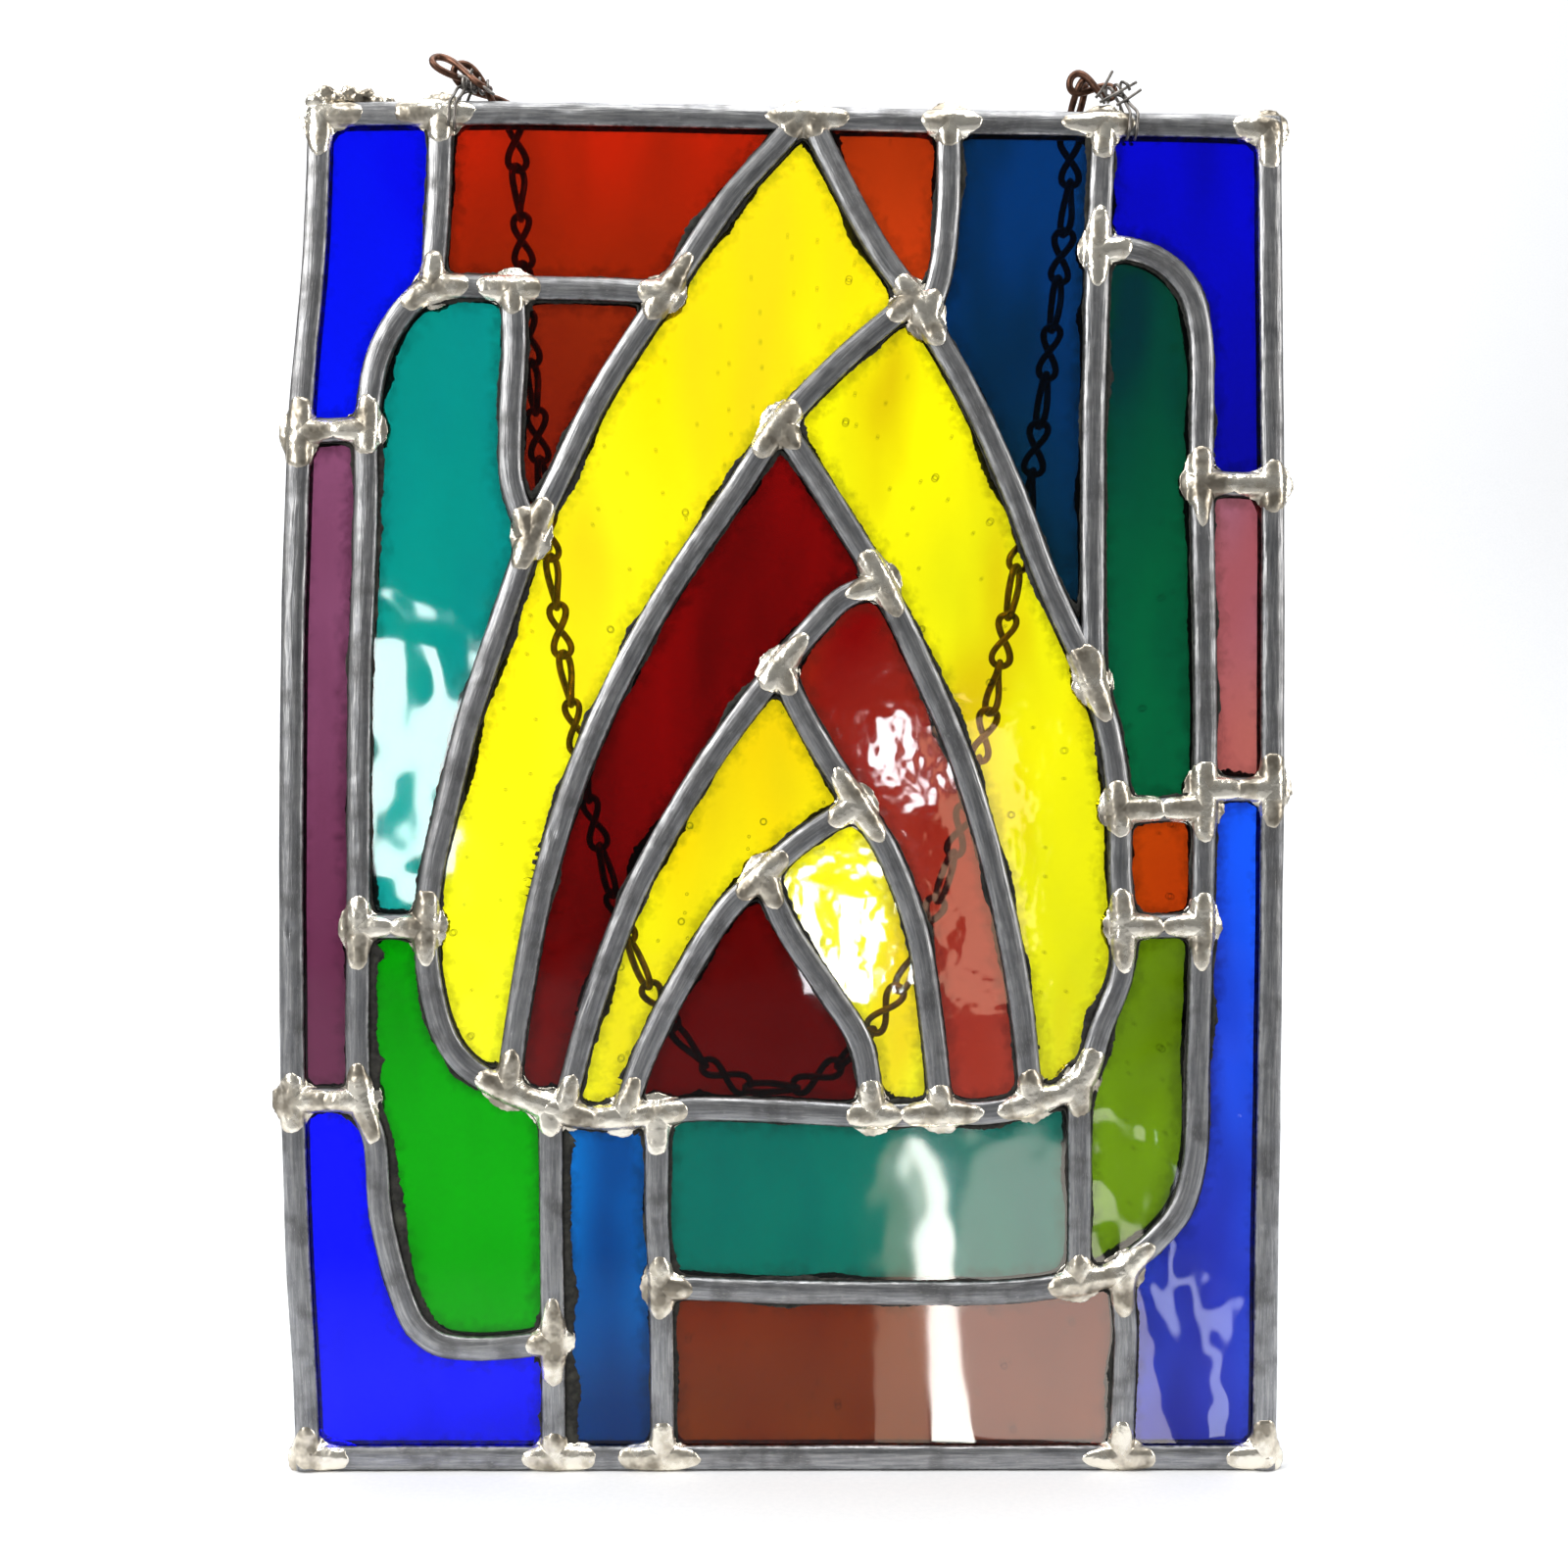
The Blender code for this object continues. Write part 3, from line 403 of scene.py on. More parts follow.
def attribute(tree, name):
    return node(tree, "ShaderNodeAttribute", attribute_name=name).outputs["Fac"]


def bump(tree, height, strength, distance, before=None):
    made = node(tree, "ShaderNodeBump", Height=height, Strength=strength, Distance=distance)
    if before:
        fill(made, {"Normal": before})
    return made.outputs["Normal"]


def coordinate_of(tree, axis):
    """A point's place along one axis, in metres."""
    place_at = node(tree, "ShaderNodeTexCoord").outputs["Object"]
    return node(tree, "ShaderNodeSeparateXYZ", Vector=place_at).outputs[axis]


# Materials

METALLIC = 0.85


def lead_material():
    """Dull grey lead with scratches along it and dents, darker towards its edges: partly cement rubbed in,
    partly painted shade on the flanks.
    """
    made, tree, shader = new_material("lead_came")
    streaks = noise_of(tree, 1.0, 2.0, (5.0, 2.2, 1.0), "UV", 0.6)
    mottle = noise_of(tree, 150.0, 2.0)
    fine = noise_of(tree, 1.0, 1.0, (40.0, 11.0, 1.0), "UV")
    grey = colour_ramp(tree, streaks, [(0.28, (0.19, 0.195, 0.21)), (0.5, (0.29, 0.295, 0.305)),
                                       (0.75, (0.44, 0.44, 0.445))])
    stained = tinted(tree, value_between(tree, mottle, 0.0, 0.75, 0.47, 0.68), grey, (0.115, 0.115, 0.118))
    stained = tinted(tree, value_between(tree, fine, 0.0, 0.5, 0.6, 0.75), stained, (0.60, 0.59, 0.57))
    ragged = value_between(tree, noise_of(tree, 650.0, 1.0), -0.12, 0.12)
    # Darker towards each lead's edges: partly cement rubbed in, partly painted shade on the dome's flanks.
    cement_and_flank_shade = combined(tree, "ADD", attribute(tree, "edge"), ragged)
    base = tinted(tree, value_between(tree, cement_and_flank_shade, 0.0, 0.75, 0.90, 1.08), stained, (0.06, 0.06, 0.06))
    dents = bump(tree, mottle, 0.35, 0.0006, bump(tree, streaks, 0.25, 0.0004))
    fill(shader, {"Base Color": base, "Metallic": METALLIC, "Normal": dents,
                  "Roughness": value_between(tree, mottle, 0.30, 0.46)})
    return made


def solder_material():
    """Slightly warm silvery solder, frozen in small ripples and darker at its rim."""
    made, tree, shader = new_material("solder")
    patches = noise_of(tree, 170.0, 3.0)
    metal = colour_ramp(tree, patches, [(0.36, (0.30, 0.265, 0.21)), (0.48, (0.70, 0.64, 0.53)),
                                        (0.58, (0.97, 0.92, 0.80))])
    # Darker colour towards the solder's rim.
    darker_rim = value_between(tree, attribute(tree, "rim"), 0.0, 0.3, 0.95, 1.0)
    ripples = bump(tree, noise_of(tree, 260.0, 2.0), 0.5, 0.0008, bump(tree, patches, 0.35, 0.0010))
    fill(shader, {"Base Color": tinted(tree, darker_rim, metal, (0.20, 0.185, 0.165)), "Metallic": METALLIC,
                  "Roughness": value_between(tree, patches, 0.36, 0.20), "Normal": ripples})
    return made


def cement_material():
    """Near-black cement with paler dust on it."""
    made, tree, shader = new_material("cement")
    grain = noise_of(tree, 900.0, 2.0)
    dust = value_between(tree, noise_of(tree, 160.0, 2.0), 0.0, 0.5, 0.58, 0.75)
    dark = colour_ramp(tree, grain, [(0.35, (0.006, 0.006, 0.005)), (0.7, (0.028, 0.027, 0.022))])
    fill(shader, {"Base Color": tinted(tree, dust, dark, (0.09, 0.088, 0.07)), "Roughness": 0.9,
                  "Normal": bump(tree, grain, 0.7, 0.0003)})
    return made


def seed_rings(tree, tint, colour):
    """Darker rings where bubbles show in the glass, in two sizes."""
    flat = node(tree, "ShaderNodeCombineXYZ", X=coordinate_of(tree, "X"), Y=coordinate_of(tree, "Z"))
    for scale, wide in ((62.0, 0.055), (150.0, 0.06)):
        bubbles = node(tree, "ShaderNodeTexVoronoi", voronoi_dimensions="2D", Vector=flat.outputs["Vector"],
                       Scale=scale)
        drawn = node(tree, "ShaderNodeSeparateColor", Color=bubbles.outputs["Color"])
        shown = value_between(tree, drawn.outputs["Red"], 0.0, 1.0, 0.5, 0.56)
        away = bubbles.outputs["Distance"]
        disc = value_between(tree, away, 1.0, 0.0, wide * 0.7, wide)
        middle = value_between(tree, away, 1.0, 0.0, wide * 0.4, wide * 0.7)
        ring = combined(tree, "SUBTRACT", disc, middle, clamp=True)
        tint = tinted(tree, combined(tree, "MULTIPLY", ring, shown), tint, colour)
    return tint


def glass_material(name, upper, lower, ripple, index, gloss, cord_share, cord_tint, grain, seedy):
    """Clear coloured glass: its tint drifts from an upper to a lower colour, darkens near the leads with
    grime and painted shade, and its skin ripples.
    """
    made, tree, shader = new_material(name)
    streaks = noise_of(tree, 30.0, 2.0, (1.0, 1.0, 0.45))
    drift = combined(tree, "ADD", attribute(tree, "rise"), value_between(tree, streaks, -0.3, 0.3))
    tint = colour_ramp(tree, drift, [(0.05, lower), (0.95, upper)])
    cords = noise_of(tree, 42.0, 2.0, (1.0, 1.0, 0.35))
    tint = tinted(tree, value_between(tree, cords, 0.0, cord_share, 0.45, 0.70), tint,
                  tuple(a * b for a, b in zip(cord_tint, lower)))
    # Darker glass near the leads: partly grime, partly painted shade of the leads.
    ragged = value_between(tree, noise_of(tree, 420.0, 2.0), -1.6, 1.6)
    grime_and_lead_shade = value_between(tree, combined(tree, "ADD", attribute(tree, "inset"), ragged), 0.62, 0.0, 1.6, 4.4)
    tint = tinted(tree, grime_and_lead_shade, tint, tuple(0.3 * c for c in lower))
    if seedy:
        tint = seed_rings(tree, tint, tuple(0.25 * c for c in lower))
    skin = bump(tree, noise_of(tree, 70.0, 1.0), ripple, 0.0008)
    if grain:
        skin = bump(tree, noise_of(tree, 270.0, 1.0), grain, 0.0004, skin)
    fill(shader, {"Base Color": tint, "Normal": skin, "Transmission Weight": 1.0, "Roughness": gloss,
                  "IOR": index})
    return made


def wire_material(name, dark, bright, roughness):
    made, tree, shader = new_material(name)
    tone = colour_ramp(tree, noise_of(tree, 500.0, 4.0), [(0.3, dark), (0.7, bright)])
    fill(shader, {"Base Color": tone, "Metallic": METALLIC, "Roughness": roughness,
                  "Normal": bump(tree, noise_of(tree, 1500.0, 3.0), 0.3, 0.0002)})
    return made


# Leads

FACE_SHARES = [-1.0, -0.97, -0.9, -0.78, -0.6, -0.4, -0.2, 0.0, 0.2, 0.4, 0.6, 0.78, 0.9, 0.97, 1.0]
FACE_FROM = FLANGE_INNER + 0.01
BUTT_TRIM = 1.2
BORDER_TRIM = CAME_FACE - 1.0

# Scale of the texture coordinates along and across a lead, and the gap to those of its back face.
UV_ALONG = 0.02
UV_ACROSS = 0.8
UV_BACK = 8


def dome(share):
    """Height of a lead's face above its flange's inner side, at a share of its half width."""
    rise = CROWN_Y + PROUD - FLANGE_INNER - FLANGE_EDGE
    return FLANGE_EDGE + rise * math.sqrt(1 - share ** 2)


def lead_section(low, high):
    """Points across and deep round a lead's section, whose heart runs from low to high across."""
    face = [(s * CAME_HALF, FLANGE_INNER + dome(s)) for s in FACE_SHARES]
    section = [(across, -deep) for across, deep in face]
    section += [(across, deep * FLANGE_INNER) for across, deep in
                ((CAME_HALF, -1), (high, -1), (high, 1), (CAME_HALF, 1))]
    section += reversed(face)
    section += [(across, deep * FLANGE_INNER) for across, deep in
                ((-CAME_HALF, 1), (low, 1), (low, -1), (-CAME_HALF, -1))]
    return section


def border_section(name):
    """A border lead's section, with its heart on the outer side and one channel on the inner side."""
    outer = -CAME_HALF * inward(name)
    heart = outer + CAME_HEART * inward(name)
    section = lead_section(min(outer, heart), max(outer, heart))
    return [point for k, point in enumerate(section) if point != section[k - 1]]


def end_trim(name, end):
    """How far a lead's end stops short of its joint, to end inside the lead that it butts on."""
    if (name, end) in CARRIES_ON or name in ("border_left", "border_right"):
        return 0.0
    joint = PATHS[name][-end]
    on_border = any(joint in path for border, path in BORDERS.items() if border != name)
    return BORDER_TRIM if on_border else BUTT_TRIM


def cut_start(run, length):
    """A run of points without its first length."""
    kept = list(run)
    while length > 0 and len(kept) > 2:
        piece = (kept[1] - kept[0]).length
        if piece > length:
            kept[0] = kept[0] + (kept[1] - kept[0]) * (length / piece)
            break
        length -= piece
        kept.pop(0)
    return kept


def wear(x, deep, z, seed):
    """How far a point of a lead's face is pushed out by its dents and nicks."""
    dent = 0.12 * wave(x, deep, z, 8.0, seed) + 0.05 * wave(x, deep, z, 2.6, seed)
    nick = max(0.0, wave(x, deep, z, 3.4, seed + 9) - 0.42)
    return dent - 0.04 - 0.7 * nick


def lead(name, material):
    """One lead, swept along its curve with small dents, a wavering width and worn edges."""
    section = lead_section(-CAME_HEART / 2, CAME_HEART / 2) if name in LEADS else border_section(name)
    run = cut_start(CENTRES[name], end_trim(name, 0))
    run = cut_start(run[::-1], end_trim(name, 1))[::-1]
    seed = seed_of(name, 0.37)
    points = []
    edge = []
    uv = []
    along = 0.0
    for number, (here, side) in enumerate(zip(run, normals(run))):
        if number:
            along += (here - run[number - 1]).length
        width = 1 + 0.04 * wave(along, 0, 0, 17.0, seed) + 0.012 * wave(along, 4, 0, 4.0, seed)
        sway = 0.14 * wave(along, 0, 7, 24.0, seed)
        for across, deep in section:
            flat = here + side * (across * width + sway)
            share = abs(across) / CAME_HALF
            outward = 1 if deep > 0 else -1
            on_face = abs(deep) > FACE_FROM
            push = outward * wear(flat.x, deep, flat.y, seed) * (1 - 0.5 * share) if on_face else 0.0
            points.append((flat.x, deep + push, flat.y))
            edge.append(share if on_face else 1.0)
            uv.append((along * UV_ALONG, across * UV_ACROSS + (UV_BACK if deep > 0 else 0)))
    size = len(section)
    faces = band_faces(len(run), size)
    faces.append(tuple(range(size)))
    faces.append(tuple(range(len(points) - 1, len(points) - size - 1, -1)))
    made = new_object(name + "_dressed", points, faces, material, [name])
    add_layer(made, "edge", edge)
    layer = made.data.uv_layers.new(name="UVMap")
    corner_points = np.zeros(len(made.data.loops), np.int32)
    made.data.loops.foreach_get("vertex_index", corner_points)
    layer.data.foreach_set("uv", np.array(uv, np.float32)[corner_points].ravel())


# Solder

# A patch is a set of rings, at shares of its reach in each direction.
ANGLES = 96
RINGS = [0.16, 0.32, 0.48, 0.62, 0.74, 0.84, 0.91, 0.96, 1.0]
FARTHEST = 13.0
REACH_STEP = 0.12

# Sizes of a joint's puddle, and of the tongues that run out along its leads.
PUDDLE = 3.7
TONGUE = 7.6
THICK = 0.5
BLEND = 4.2
SOLDER_FOOT = HALF_GLASS + 0.02

# A cross rung shorter than this has solder all along it.
SHORT_LEAD = 22.0

# An arm has more points than this, and they keep this far from the joint's middle.
SHORTEST_ARM = 3
ARM_START = 0.4


def arms_at(joint):
    """Runs of points that leave a joint along each lead that meets there."""
    found = []
    for name, path in PATHS.items():
        if joint in path:
            number = RUNS[name][1][path.index(joint)]
            run = CENTRES[name]
            found += [(name, arm) for arm in (run[number:], run[number::-1]) if len(arm) > SHORTEST_ARM]
    return found


def joint_middle(joint, arms):
    """Where a joint's solder is centred: on its borders' middle lines where it lies on them."""
    borders = [arm[0] for name, arm in arms if name in BORDERS]
    if not borders:
        return place(JOINTS[joint])
    if joint.startswith("corner"):
        corner = place(JOINTS[joint])
        return corner - Vector((math.copysign(CAME_HALF, corner.x),
                                CAME_HALF if corner.y > -PANEL_HEIGHT / 2 else -CAME_HALF))
    return borders[0]


def shorten(arm, middle, length):
    """The part of an arm between a joint's middle and a length away from it."""
    nearest = min(range(len(arm)), key=lambda k: (arm[k] - middle).length)
    out = [middle]
    total = 0.0
    for p in arm[nearest + 1:]:
        if (p - middle).length > ARM_START:
            total += (p - out[-1]).length
            out.append(p)
            if total > length:
                break
    return out


def length_of(path):
    return sum((b - a).length for a, b in zip(path, path[1:]))


def along_and_off(points, arm):
    """For each point, its distance from an arm's middle line and how far along the arm that is."""
    off = np.full(len(points), 1e9)
    along = np.zeros(len(points))
    walked = 0.0
    for start, end in zip(arm, arm[1:]):
        step = end - start
        length = np.linalg.norm(step)
        share = np.clip((points - start) @ step / length ** 2, 0, 1)
        distance = np.linalg.norm(points - start - share[:, None] * step, axis=1)
        closer = distance < off
        off[closer] = distance[closer]
        along[closer] = walked + share[closer] * length
        walked += length
    return off, along


def tongues(found, middle, draw):
    """The solder along each lead that meets at a joint: its line, reach, fatness, taper and point."""
    arms = []
    for name, arm in found:
        reach = TONGUE * draw.uniform(0.7, 1.3)
        length = length_of(CENTRES[name])
        if name in LEADS and len(PATHS[name]) == 2 and length < SHORT_LEAD:
            reach = length / 2 + 0.6
        kept = shorten(arm, middle, reach + 3.0)
        if len(kept) > 2:
            arms.append((array_of(kept), reach, draw.uniform(0.9, 1.08), draw.uniform(0.06, 0.2),
                         draw.uniform(1.3, 3.4)))
    return arms


def patch_field(points, arms, centre):
    """Solder's cover, 1 at its rim, and the height of the leads under it, at each point."""
    covers = [np.linalg.norm(points - centre, axis=1) / PUDDLE]
    nearest = np.full(len(points), 1e9)
    for arm, reach, fat, taper, point in arms:
        off, along = along_and_off(points, arm)
        width = fat * np.maximum(CAME_HALF + 0.6 - taper * along, 1.0)
        tip = np.maximum(0.0, along - (reach - point)) / point
        covers.append(np.sqrt((off / width) ** 2 + tip ** 2))
        nearest = np.minimum(nearest, off)
    cover = -np.log(np.exp(-BLEND * np.array(covers)).sum(0)) / BLEND
    cover = np.clip(cover, 0.0, None)
    share = np.clip(nearest / (CAME_HALF + 0.05), 0, 1)
    rise = CROWN_Y + PROUD - HALF_GLASS - 0.38
    lead_top = HALF_GLASS + 0.35 * np.clip((CAME_HALF + 0.42 - nearest) / 0.3, 0, 1)
    lead_top = lead_top + rise * np.sqrt(np.clip(1 - share ** 2.1, 0, 1))
    return cover, lead_top


def patch_reach(arms, centre, spread, seed):
    """How far a patch's ragged rim lies from its centre in each direction."""
    reaches = np.arange(0.0, FARTHEST, REACH_STEP)
    grid = centre + spread[:, None, :] * reaches[None, :, None]
    outside = patch_field(grid.reshape(-1, 2), arms, centre)[0].reshape(ANGLES, -1) > 1.0
    edge = np.where(outside.any(1), outside.argmax(1), len(reaches) - 1) * REACH_STEP
    ragged = np.array([1 + 0.09 * wave(c, s, 0, 0.3, seed) + 0.04 * wave(c, s, 3, 0.1, seed)
                       for c, s in spread])
    return np.maximum(edge * ragged, 1.2)


def patch_faces():
    """A patch's face as rings round its centre, a wall round them and a fan under them."""
    count = len(RINGS)
    wall = 1 + ANGLES * count
    faces = []
    for k in range(ANGLES):
        after = (k + 1) % ANGLES
        a, b = 1 + k * count, 1 + after * count
        faces.append((0, a, b))
        for n in range(count - 1):
            faces.append((a + n, a + n + 1, b + n + 1, b + n))
        faces.append((a + count - 1, wall + k, wall + after, b + count - 1))
        faces.append((wall + k, wall + ANGLES, wall + after))
    return faces


def solder_patch(joint, side):
    """One joint's solder on one face: a puddle with a tongue running out along each lead."""
    seed = seed_of(joint, 0.61) + (5.0 if side == BACK else 0.0)
    found = arms_at(joint)
    middle = joint_middle(joint, found)
    arms = tongues(found, middle, random.Random(joint + str(side)))
    centre = np.array(tuple(middle))
    turn = np.linspace(0, 2 * math.pi, ANGLES, endpoint=False)
    spread = np.stack([np.cos(turn), np.sin(turn)], 1)
    rings = patch_reach(arms, centre, spread, seed)[:, None] * np.array(RINGS)[None, :]
    flat = (centre + spread[:, None, :] * rings[:, :, None]).reshape(-1, 2)
    flat = np.vstack([centre[None, :], flat])
    field, base = patch_field(flat, arms, centre)
    shares = np.concatenate([[0.0], np.tile(RINGS, ANGLES)])
    blend = np.clip(np.maximum(field, shares ** 3), 0, 1)
    height = base + THICK * np.sqrt(np.clip(1 - blend ** 2, 0, 1)) - 0.14 * shares ** 6
    points = []
    for (x, z), h, s in zip(flat, height, shares):
        lump = 0.20 * wave(x, side * 3, z, 3.2, seed) + 0.07 * wave(x, side * 3, z, 1.3, seed)
        points.append((x, side * max(HALF_GLASS + 0.04, h + lump * (1 - s ** 4)), z))
    points += [(x, side * SOLDER_FOOT, z) for x, _, z in points[len(RINGS)::len(RINGS)]]
    points.append((centre[0], side * SOLDER_FOOT, centre[1]))
    rim = list(shares) + [1.0] * (ANGLES + 1)
    return points, patch_faces(), rim


def solder(name, side, material):
    patches = [solder_patch(joint, side) for joint in JOINTS]
    points, faces = joined([patch[:2] for patch in patches])
    made = new_object(name, points, faces, material)
    add_layer(made, "rim", [share for patch in patches for share in patch[2]])


# Panes

# Spacing of a pane's points, how far its edges run on past a joint, and the least step round it.
PANE_GRID = 2.4
OVERRUN = 6.0
LEAST_STEP = 0.25


def pane_edges(name):
    """The stretches of lead round a pane, each as a lead and the two joints that it runs between."""
    corners = PANES[name][1]
    edges = []
    for start, end in zip(corners, corners[1:] + corners[:1]):
        between = [lead_name for lead_name, path in PATHS.items() if start in path and end in path]
        edges.append((between[0], start, end))
    return edges


def offset_stretch(name, start, end):
    """One edge of a pane, along a lead and clear of its heart, run clockwise."""
    run, marks = RUNS[name]
    a, b = (marks[PATHS[name].index(joint)] for joint in (start, end))
    step = 1 if b > a else -1
    inset = (CAME_HEART if name in BORDERS else CAME_HEART / 2) + EDGE_PLAY
    sides = normals(run)
    found = [run[k] - sides[k] * (inset * step) for k in range(a, b + step, step)]
    first = (found[0] - found[1]).normalized() * OVERRUN
    last = (found[-1] - found[-2]).normalized() * OVERRUN
    return [found[0] + first] + found + [found[-1] + last]


def meeting(before, after):
    """Where one edge of a pane crosses the next, as a stretch number on each and the point."""
    best = None
    for i in range(len(before) - 1):
        for j in range(len(after) - 1):
            hit = intersect_line_line_2d(before[i], before[i + 1], after[j], after[j + 1])
            spare = len(before) - i + j
            if hit and (best is None or spare < best[0]):
                best = (spare, i, j, hit)
    if best:
        return best[1:]
    return len(before) - 2, 0, (before[-2] + after[1]) / 2


def pane_outline(name):
    """A pane's edge, clockwise, from its stretches cut where they cross."""
    edges = [offset_stretch(*edge) for edge in pane_edges(name)]
    count = len(edges)
    cuts = [meeting(edges[k - 1], edges[k]) for k in range(count)]
    outline = []
    for k in range(count):
        _, first, corner = cuts[k]
        last = cuts[(k + 1) % count][0]
        outline.append(corner)
        outline += edges[k][first + 1:last + 1]
    clean = []
    for p in outline:
        if not clean or (p - clean[-1]).length > LEAST_STEP:
            clean.append(p)
    while (clean[0] - clean[-1]).length < LEAST_STEP:
        clean.pop()
    return clean


def inside(point, outline):
    hit = False
    for a, b in zip(outline, outline[1:] + outline[:1]):
        if (a.y > point.y) != (b.y > point.y):
            if point.x < a.x + (point.y - a.y) / (b.y - a.y) * (b.x - a.x):
                hit = not hit
    return hit


def edge_distance(point, ring):
    """How far a point lies from the nearest side of a ring of points."""
    point = np.array(tuple(point))
    steps = np.roll(ring, -1, axis=0) - ring
    share = np.clip(((point - ring) * steps).sum(1) / (steps ** 2).sum(1), 0, 1)
    return np.linalg.norm(point - ring - steps * share[:, None], axis=1).min()


def grid_within(outline, ring):
    """Staggered points inside an outline, clear of its edge."""
    low, high = ring.min(0), ring.max(0)
    columns, rows = (int(count) + 1 for count in (high - low) / PANE_GRID)
    found = []
    for i in range(columns):
        for j in range(rows):
            p = Vector((low[0] + (i + 0.5 * (j % 2)) * PANE_GRID, low[1] + j * PANE_GRID))
            if inside(p, outline) and edge_distance(p, ring) > PANE_GRID * 0.4:
                found.append(p)
    return found


def pane(name, material, swell):
    """A pane whose two faces wave gently, cut to its leads' channels."""
    outline = pane_outline(name)
    ring = array_of(outline)
    low, high = ring.min(0), ring.max(0)
    seed = seed_of(name, 0.41)
    count = len(outline)
    border = [(k, (k + 1) % count) for k in range(count)]
    stops = [Vector(p) for p in ring] + grid_within(outline, ring)
    flat, _, triangles, _, _, _ = delaunay_2d_cdt(stops, border, [], 1, 1e-5)
    triangles = [tuple(t) for t in triangles]
    inset = [0.0 if k < count else edge_distance(p, ring) for k, p in enumerate(flat)]
    points = []
    rise = []
    for side in (FRONT, BACK):
        for p in flat:
            swing = wave(p.x, side * 9, p.y, 26.0, seed) + 0.45 * wave(p.x, side * 9, p.y, 9.0, seed)
            points.append((p.x, side * (HALF_GLASS - 0.06 + swell * swing), p.y))
            rise.append((p.y - low[1]) / (high[1] - low[1]))
    size = len(flat)
    sides = [pair for t in triangles for pair in zip(t, t[1:] + t[:1])]
    shared = set(sides)
    rim = [(a, b) for a, b in sides if (b, a) not in shared]
    faces = triangles + [tuple(v + size for v in reversed(t)) for t in triangles]
    faces += [(a, b, b + size, a + size) for a, b in rim]
    made = new_object(name + "_glass", points, faces, material, [name])
    add_layer(made, "rise", rise)
    add_layer(made, "inset", inset * 2)
    sharp = {frozenset(e) for e in rim} | {frozenset((a + size, b + size)) for a, b in rim}
    marks = made.data.attributes.new("sharp_edge", "BOOLEAN", "EDGE")
    marks.data.foreach_set("value", [frozenset(e.vertices) in sharp for e in made.data.edges])
    return made


# Light seen through the upper and the lower end of each pane, as linear red, green and blue.
PANE_LOOKS = {
    "pane_top_left": ((0.001, 0.002, 0.72), (0.001, 0.008, 0.95)),
    "pane_top_flame_side": ((0.46, 0.012, 0.001), (0.26, 0.014, 0.001)),
    "pane_notch": ((0.24, 0.016, 0.002), (0.16, 0.008, 0.002)),
    "pane_left_tall": ((0.001, 0.24, 0.20), (0.002, 0.34, 0.28)),
    "pane_left_strip": ((0.24, 0.07, 0.15), (0.12, 0.024, 0.06)),
    "pane_lower_left": ((0.001, 0.34, 0.001), (0.001, 0.31, 0.001)),
    "pane_bottom_corner_left": ((0.001, 0.002, 1.0), (0.001, 0.004, 0.92)),
    "pane_gold_left": ((1.0, 0.80, 0.001), (0.98, 1.0, 0.01)),
    "pane_gold_right": ((1.0, 0.93, 0.001), (0.66, 0.66, 0.006)),
    "pane_ember_left": ((0.20, 0.001, 0.001), (0.09, 0.001, 0.001)),
    "pane_ember_right": ((0.20, 0.001, 0.001), (0.30, 0.03, 0.016)),
    "pane_inner_left": ((0.86, 0.60, 0.001), (0.80, 0.82, 0.006)),
    "pane_inner_right": ((0.94, 0.88, 0.004), (0.78, 0.74, 0.01)),
    "pane_core": ((0.10, 0.001, 0.001), (0.075, 0.001, 0.001)),
    "pane_top_wedge": ((0.30, 0.02, 0.001), (0.56, 0.05, 0.004)),
    "pane_top_right_inner": ((0.001, 0.03, 0.14), (0.001, 0.02, 0.034)),
    "pane_top_right": ((0.001, 0.001, 0.62), (0.002, 0.002, 0.32)),
    "pane_right_tall": ((0.001, 0.026, 0.032), (0.001, 0.12, 0.038)),
    "pane_right_strip": ((0.30, 0.12, 0.20), (0.44, 0.12, 0.10)),
    "pane_square": ((0.50, 0.06, 0.001), (0.44, 0.045, 0.001)),
    "pane_bottom_corner_right": ((0.008, 0.10, 0.95), (0.02, 0.03, 0.42)),
    "pane_lower_right": ((0.12, 0.22, 0.002), (0.13, 0.26, 0.003)),
    "pane_sill": ((0.001, 0.12, 0.085), (0.001, 0.14, 0.10)),
    "pane_bottom_left_middle": ((0.001, 0.14, 0.48), (0.001, 0.045, 0.20)),
    "pane_bottom_middle": ((0.13, 0.012, 0.001), (0.22, 0.035, 0.003)),
}

# Panes that are wavier, mirror less, or show grain or bubbles.
WAVY = {"pane_bottom_corner_right", "pane_lower_right"}
RIPPLED = WAVY | {"pane_left_tall", "pane_inner_right"}
SOFT = {"pane_bottom_middle", "pane_sill"}
DULL = WAVY | SOFT | {"pane_bottom_corner_left", "pane_lower_left", "pane_bottom_left_middle", "pane_core"}
GRAINY = {"pane_gold_right", "pane_ember_right", "pane_inner_right"}
SEEDY = {"pane_gold_left", "pane_gold_right", "pane_inner_left", "pane_inner_right", "pane_square",
         "pane_right_tall", "pane_lower_right", "pane_top_wedge", "pane_bottom_middle"}


def all_panes():
    made = []
    for name in PANES:
        upper, lower = PANE_LOOKS[name]
        wavy = 2.2 if name in WAVY else 1.0
        ripple = 0.4 if name in RIPPLED else 0.2
        index = 1.3 if name in DULL else 1.45
        gloss = 0.07 if name in SOFT else 0.05 if name in GRAINY | RIPPLED else 0.03
        cords = (0.8, (0.86, 0.66, 0.8))
        if name in GRAINY:
            cords = (1.0, (0.95, 0.62, 0.3))
        if name in WAVY:
            cords = (0.9, (0.45, 0.4, 0.5))
        material = glass_material(name + "_colour", upper, lower, ripple * wavy, index, gloss, *cords,
                                  0.12 if name in GRAINY else 0.0, name in SEEDY)
        made.append(pane(name, material, 0.10 * wavy if name in RIPPLED else 0.06))
    return made


# Cement

# How softly cement rounds a pane's corners, and how it is marched in from the edge.
CEMENT_SOFT = 1.15
CEMENT_STEP = 0.25
CEMENT_STEPS = 24
CEMENT_NEAR = 0.02

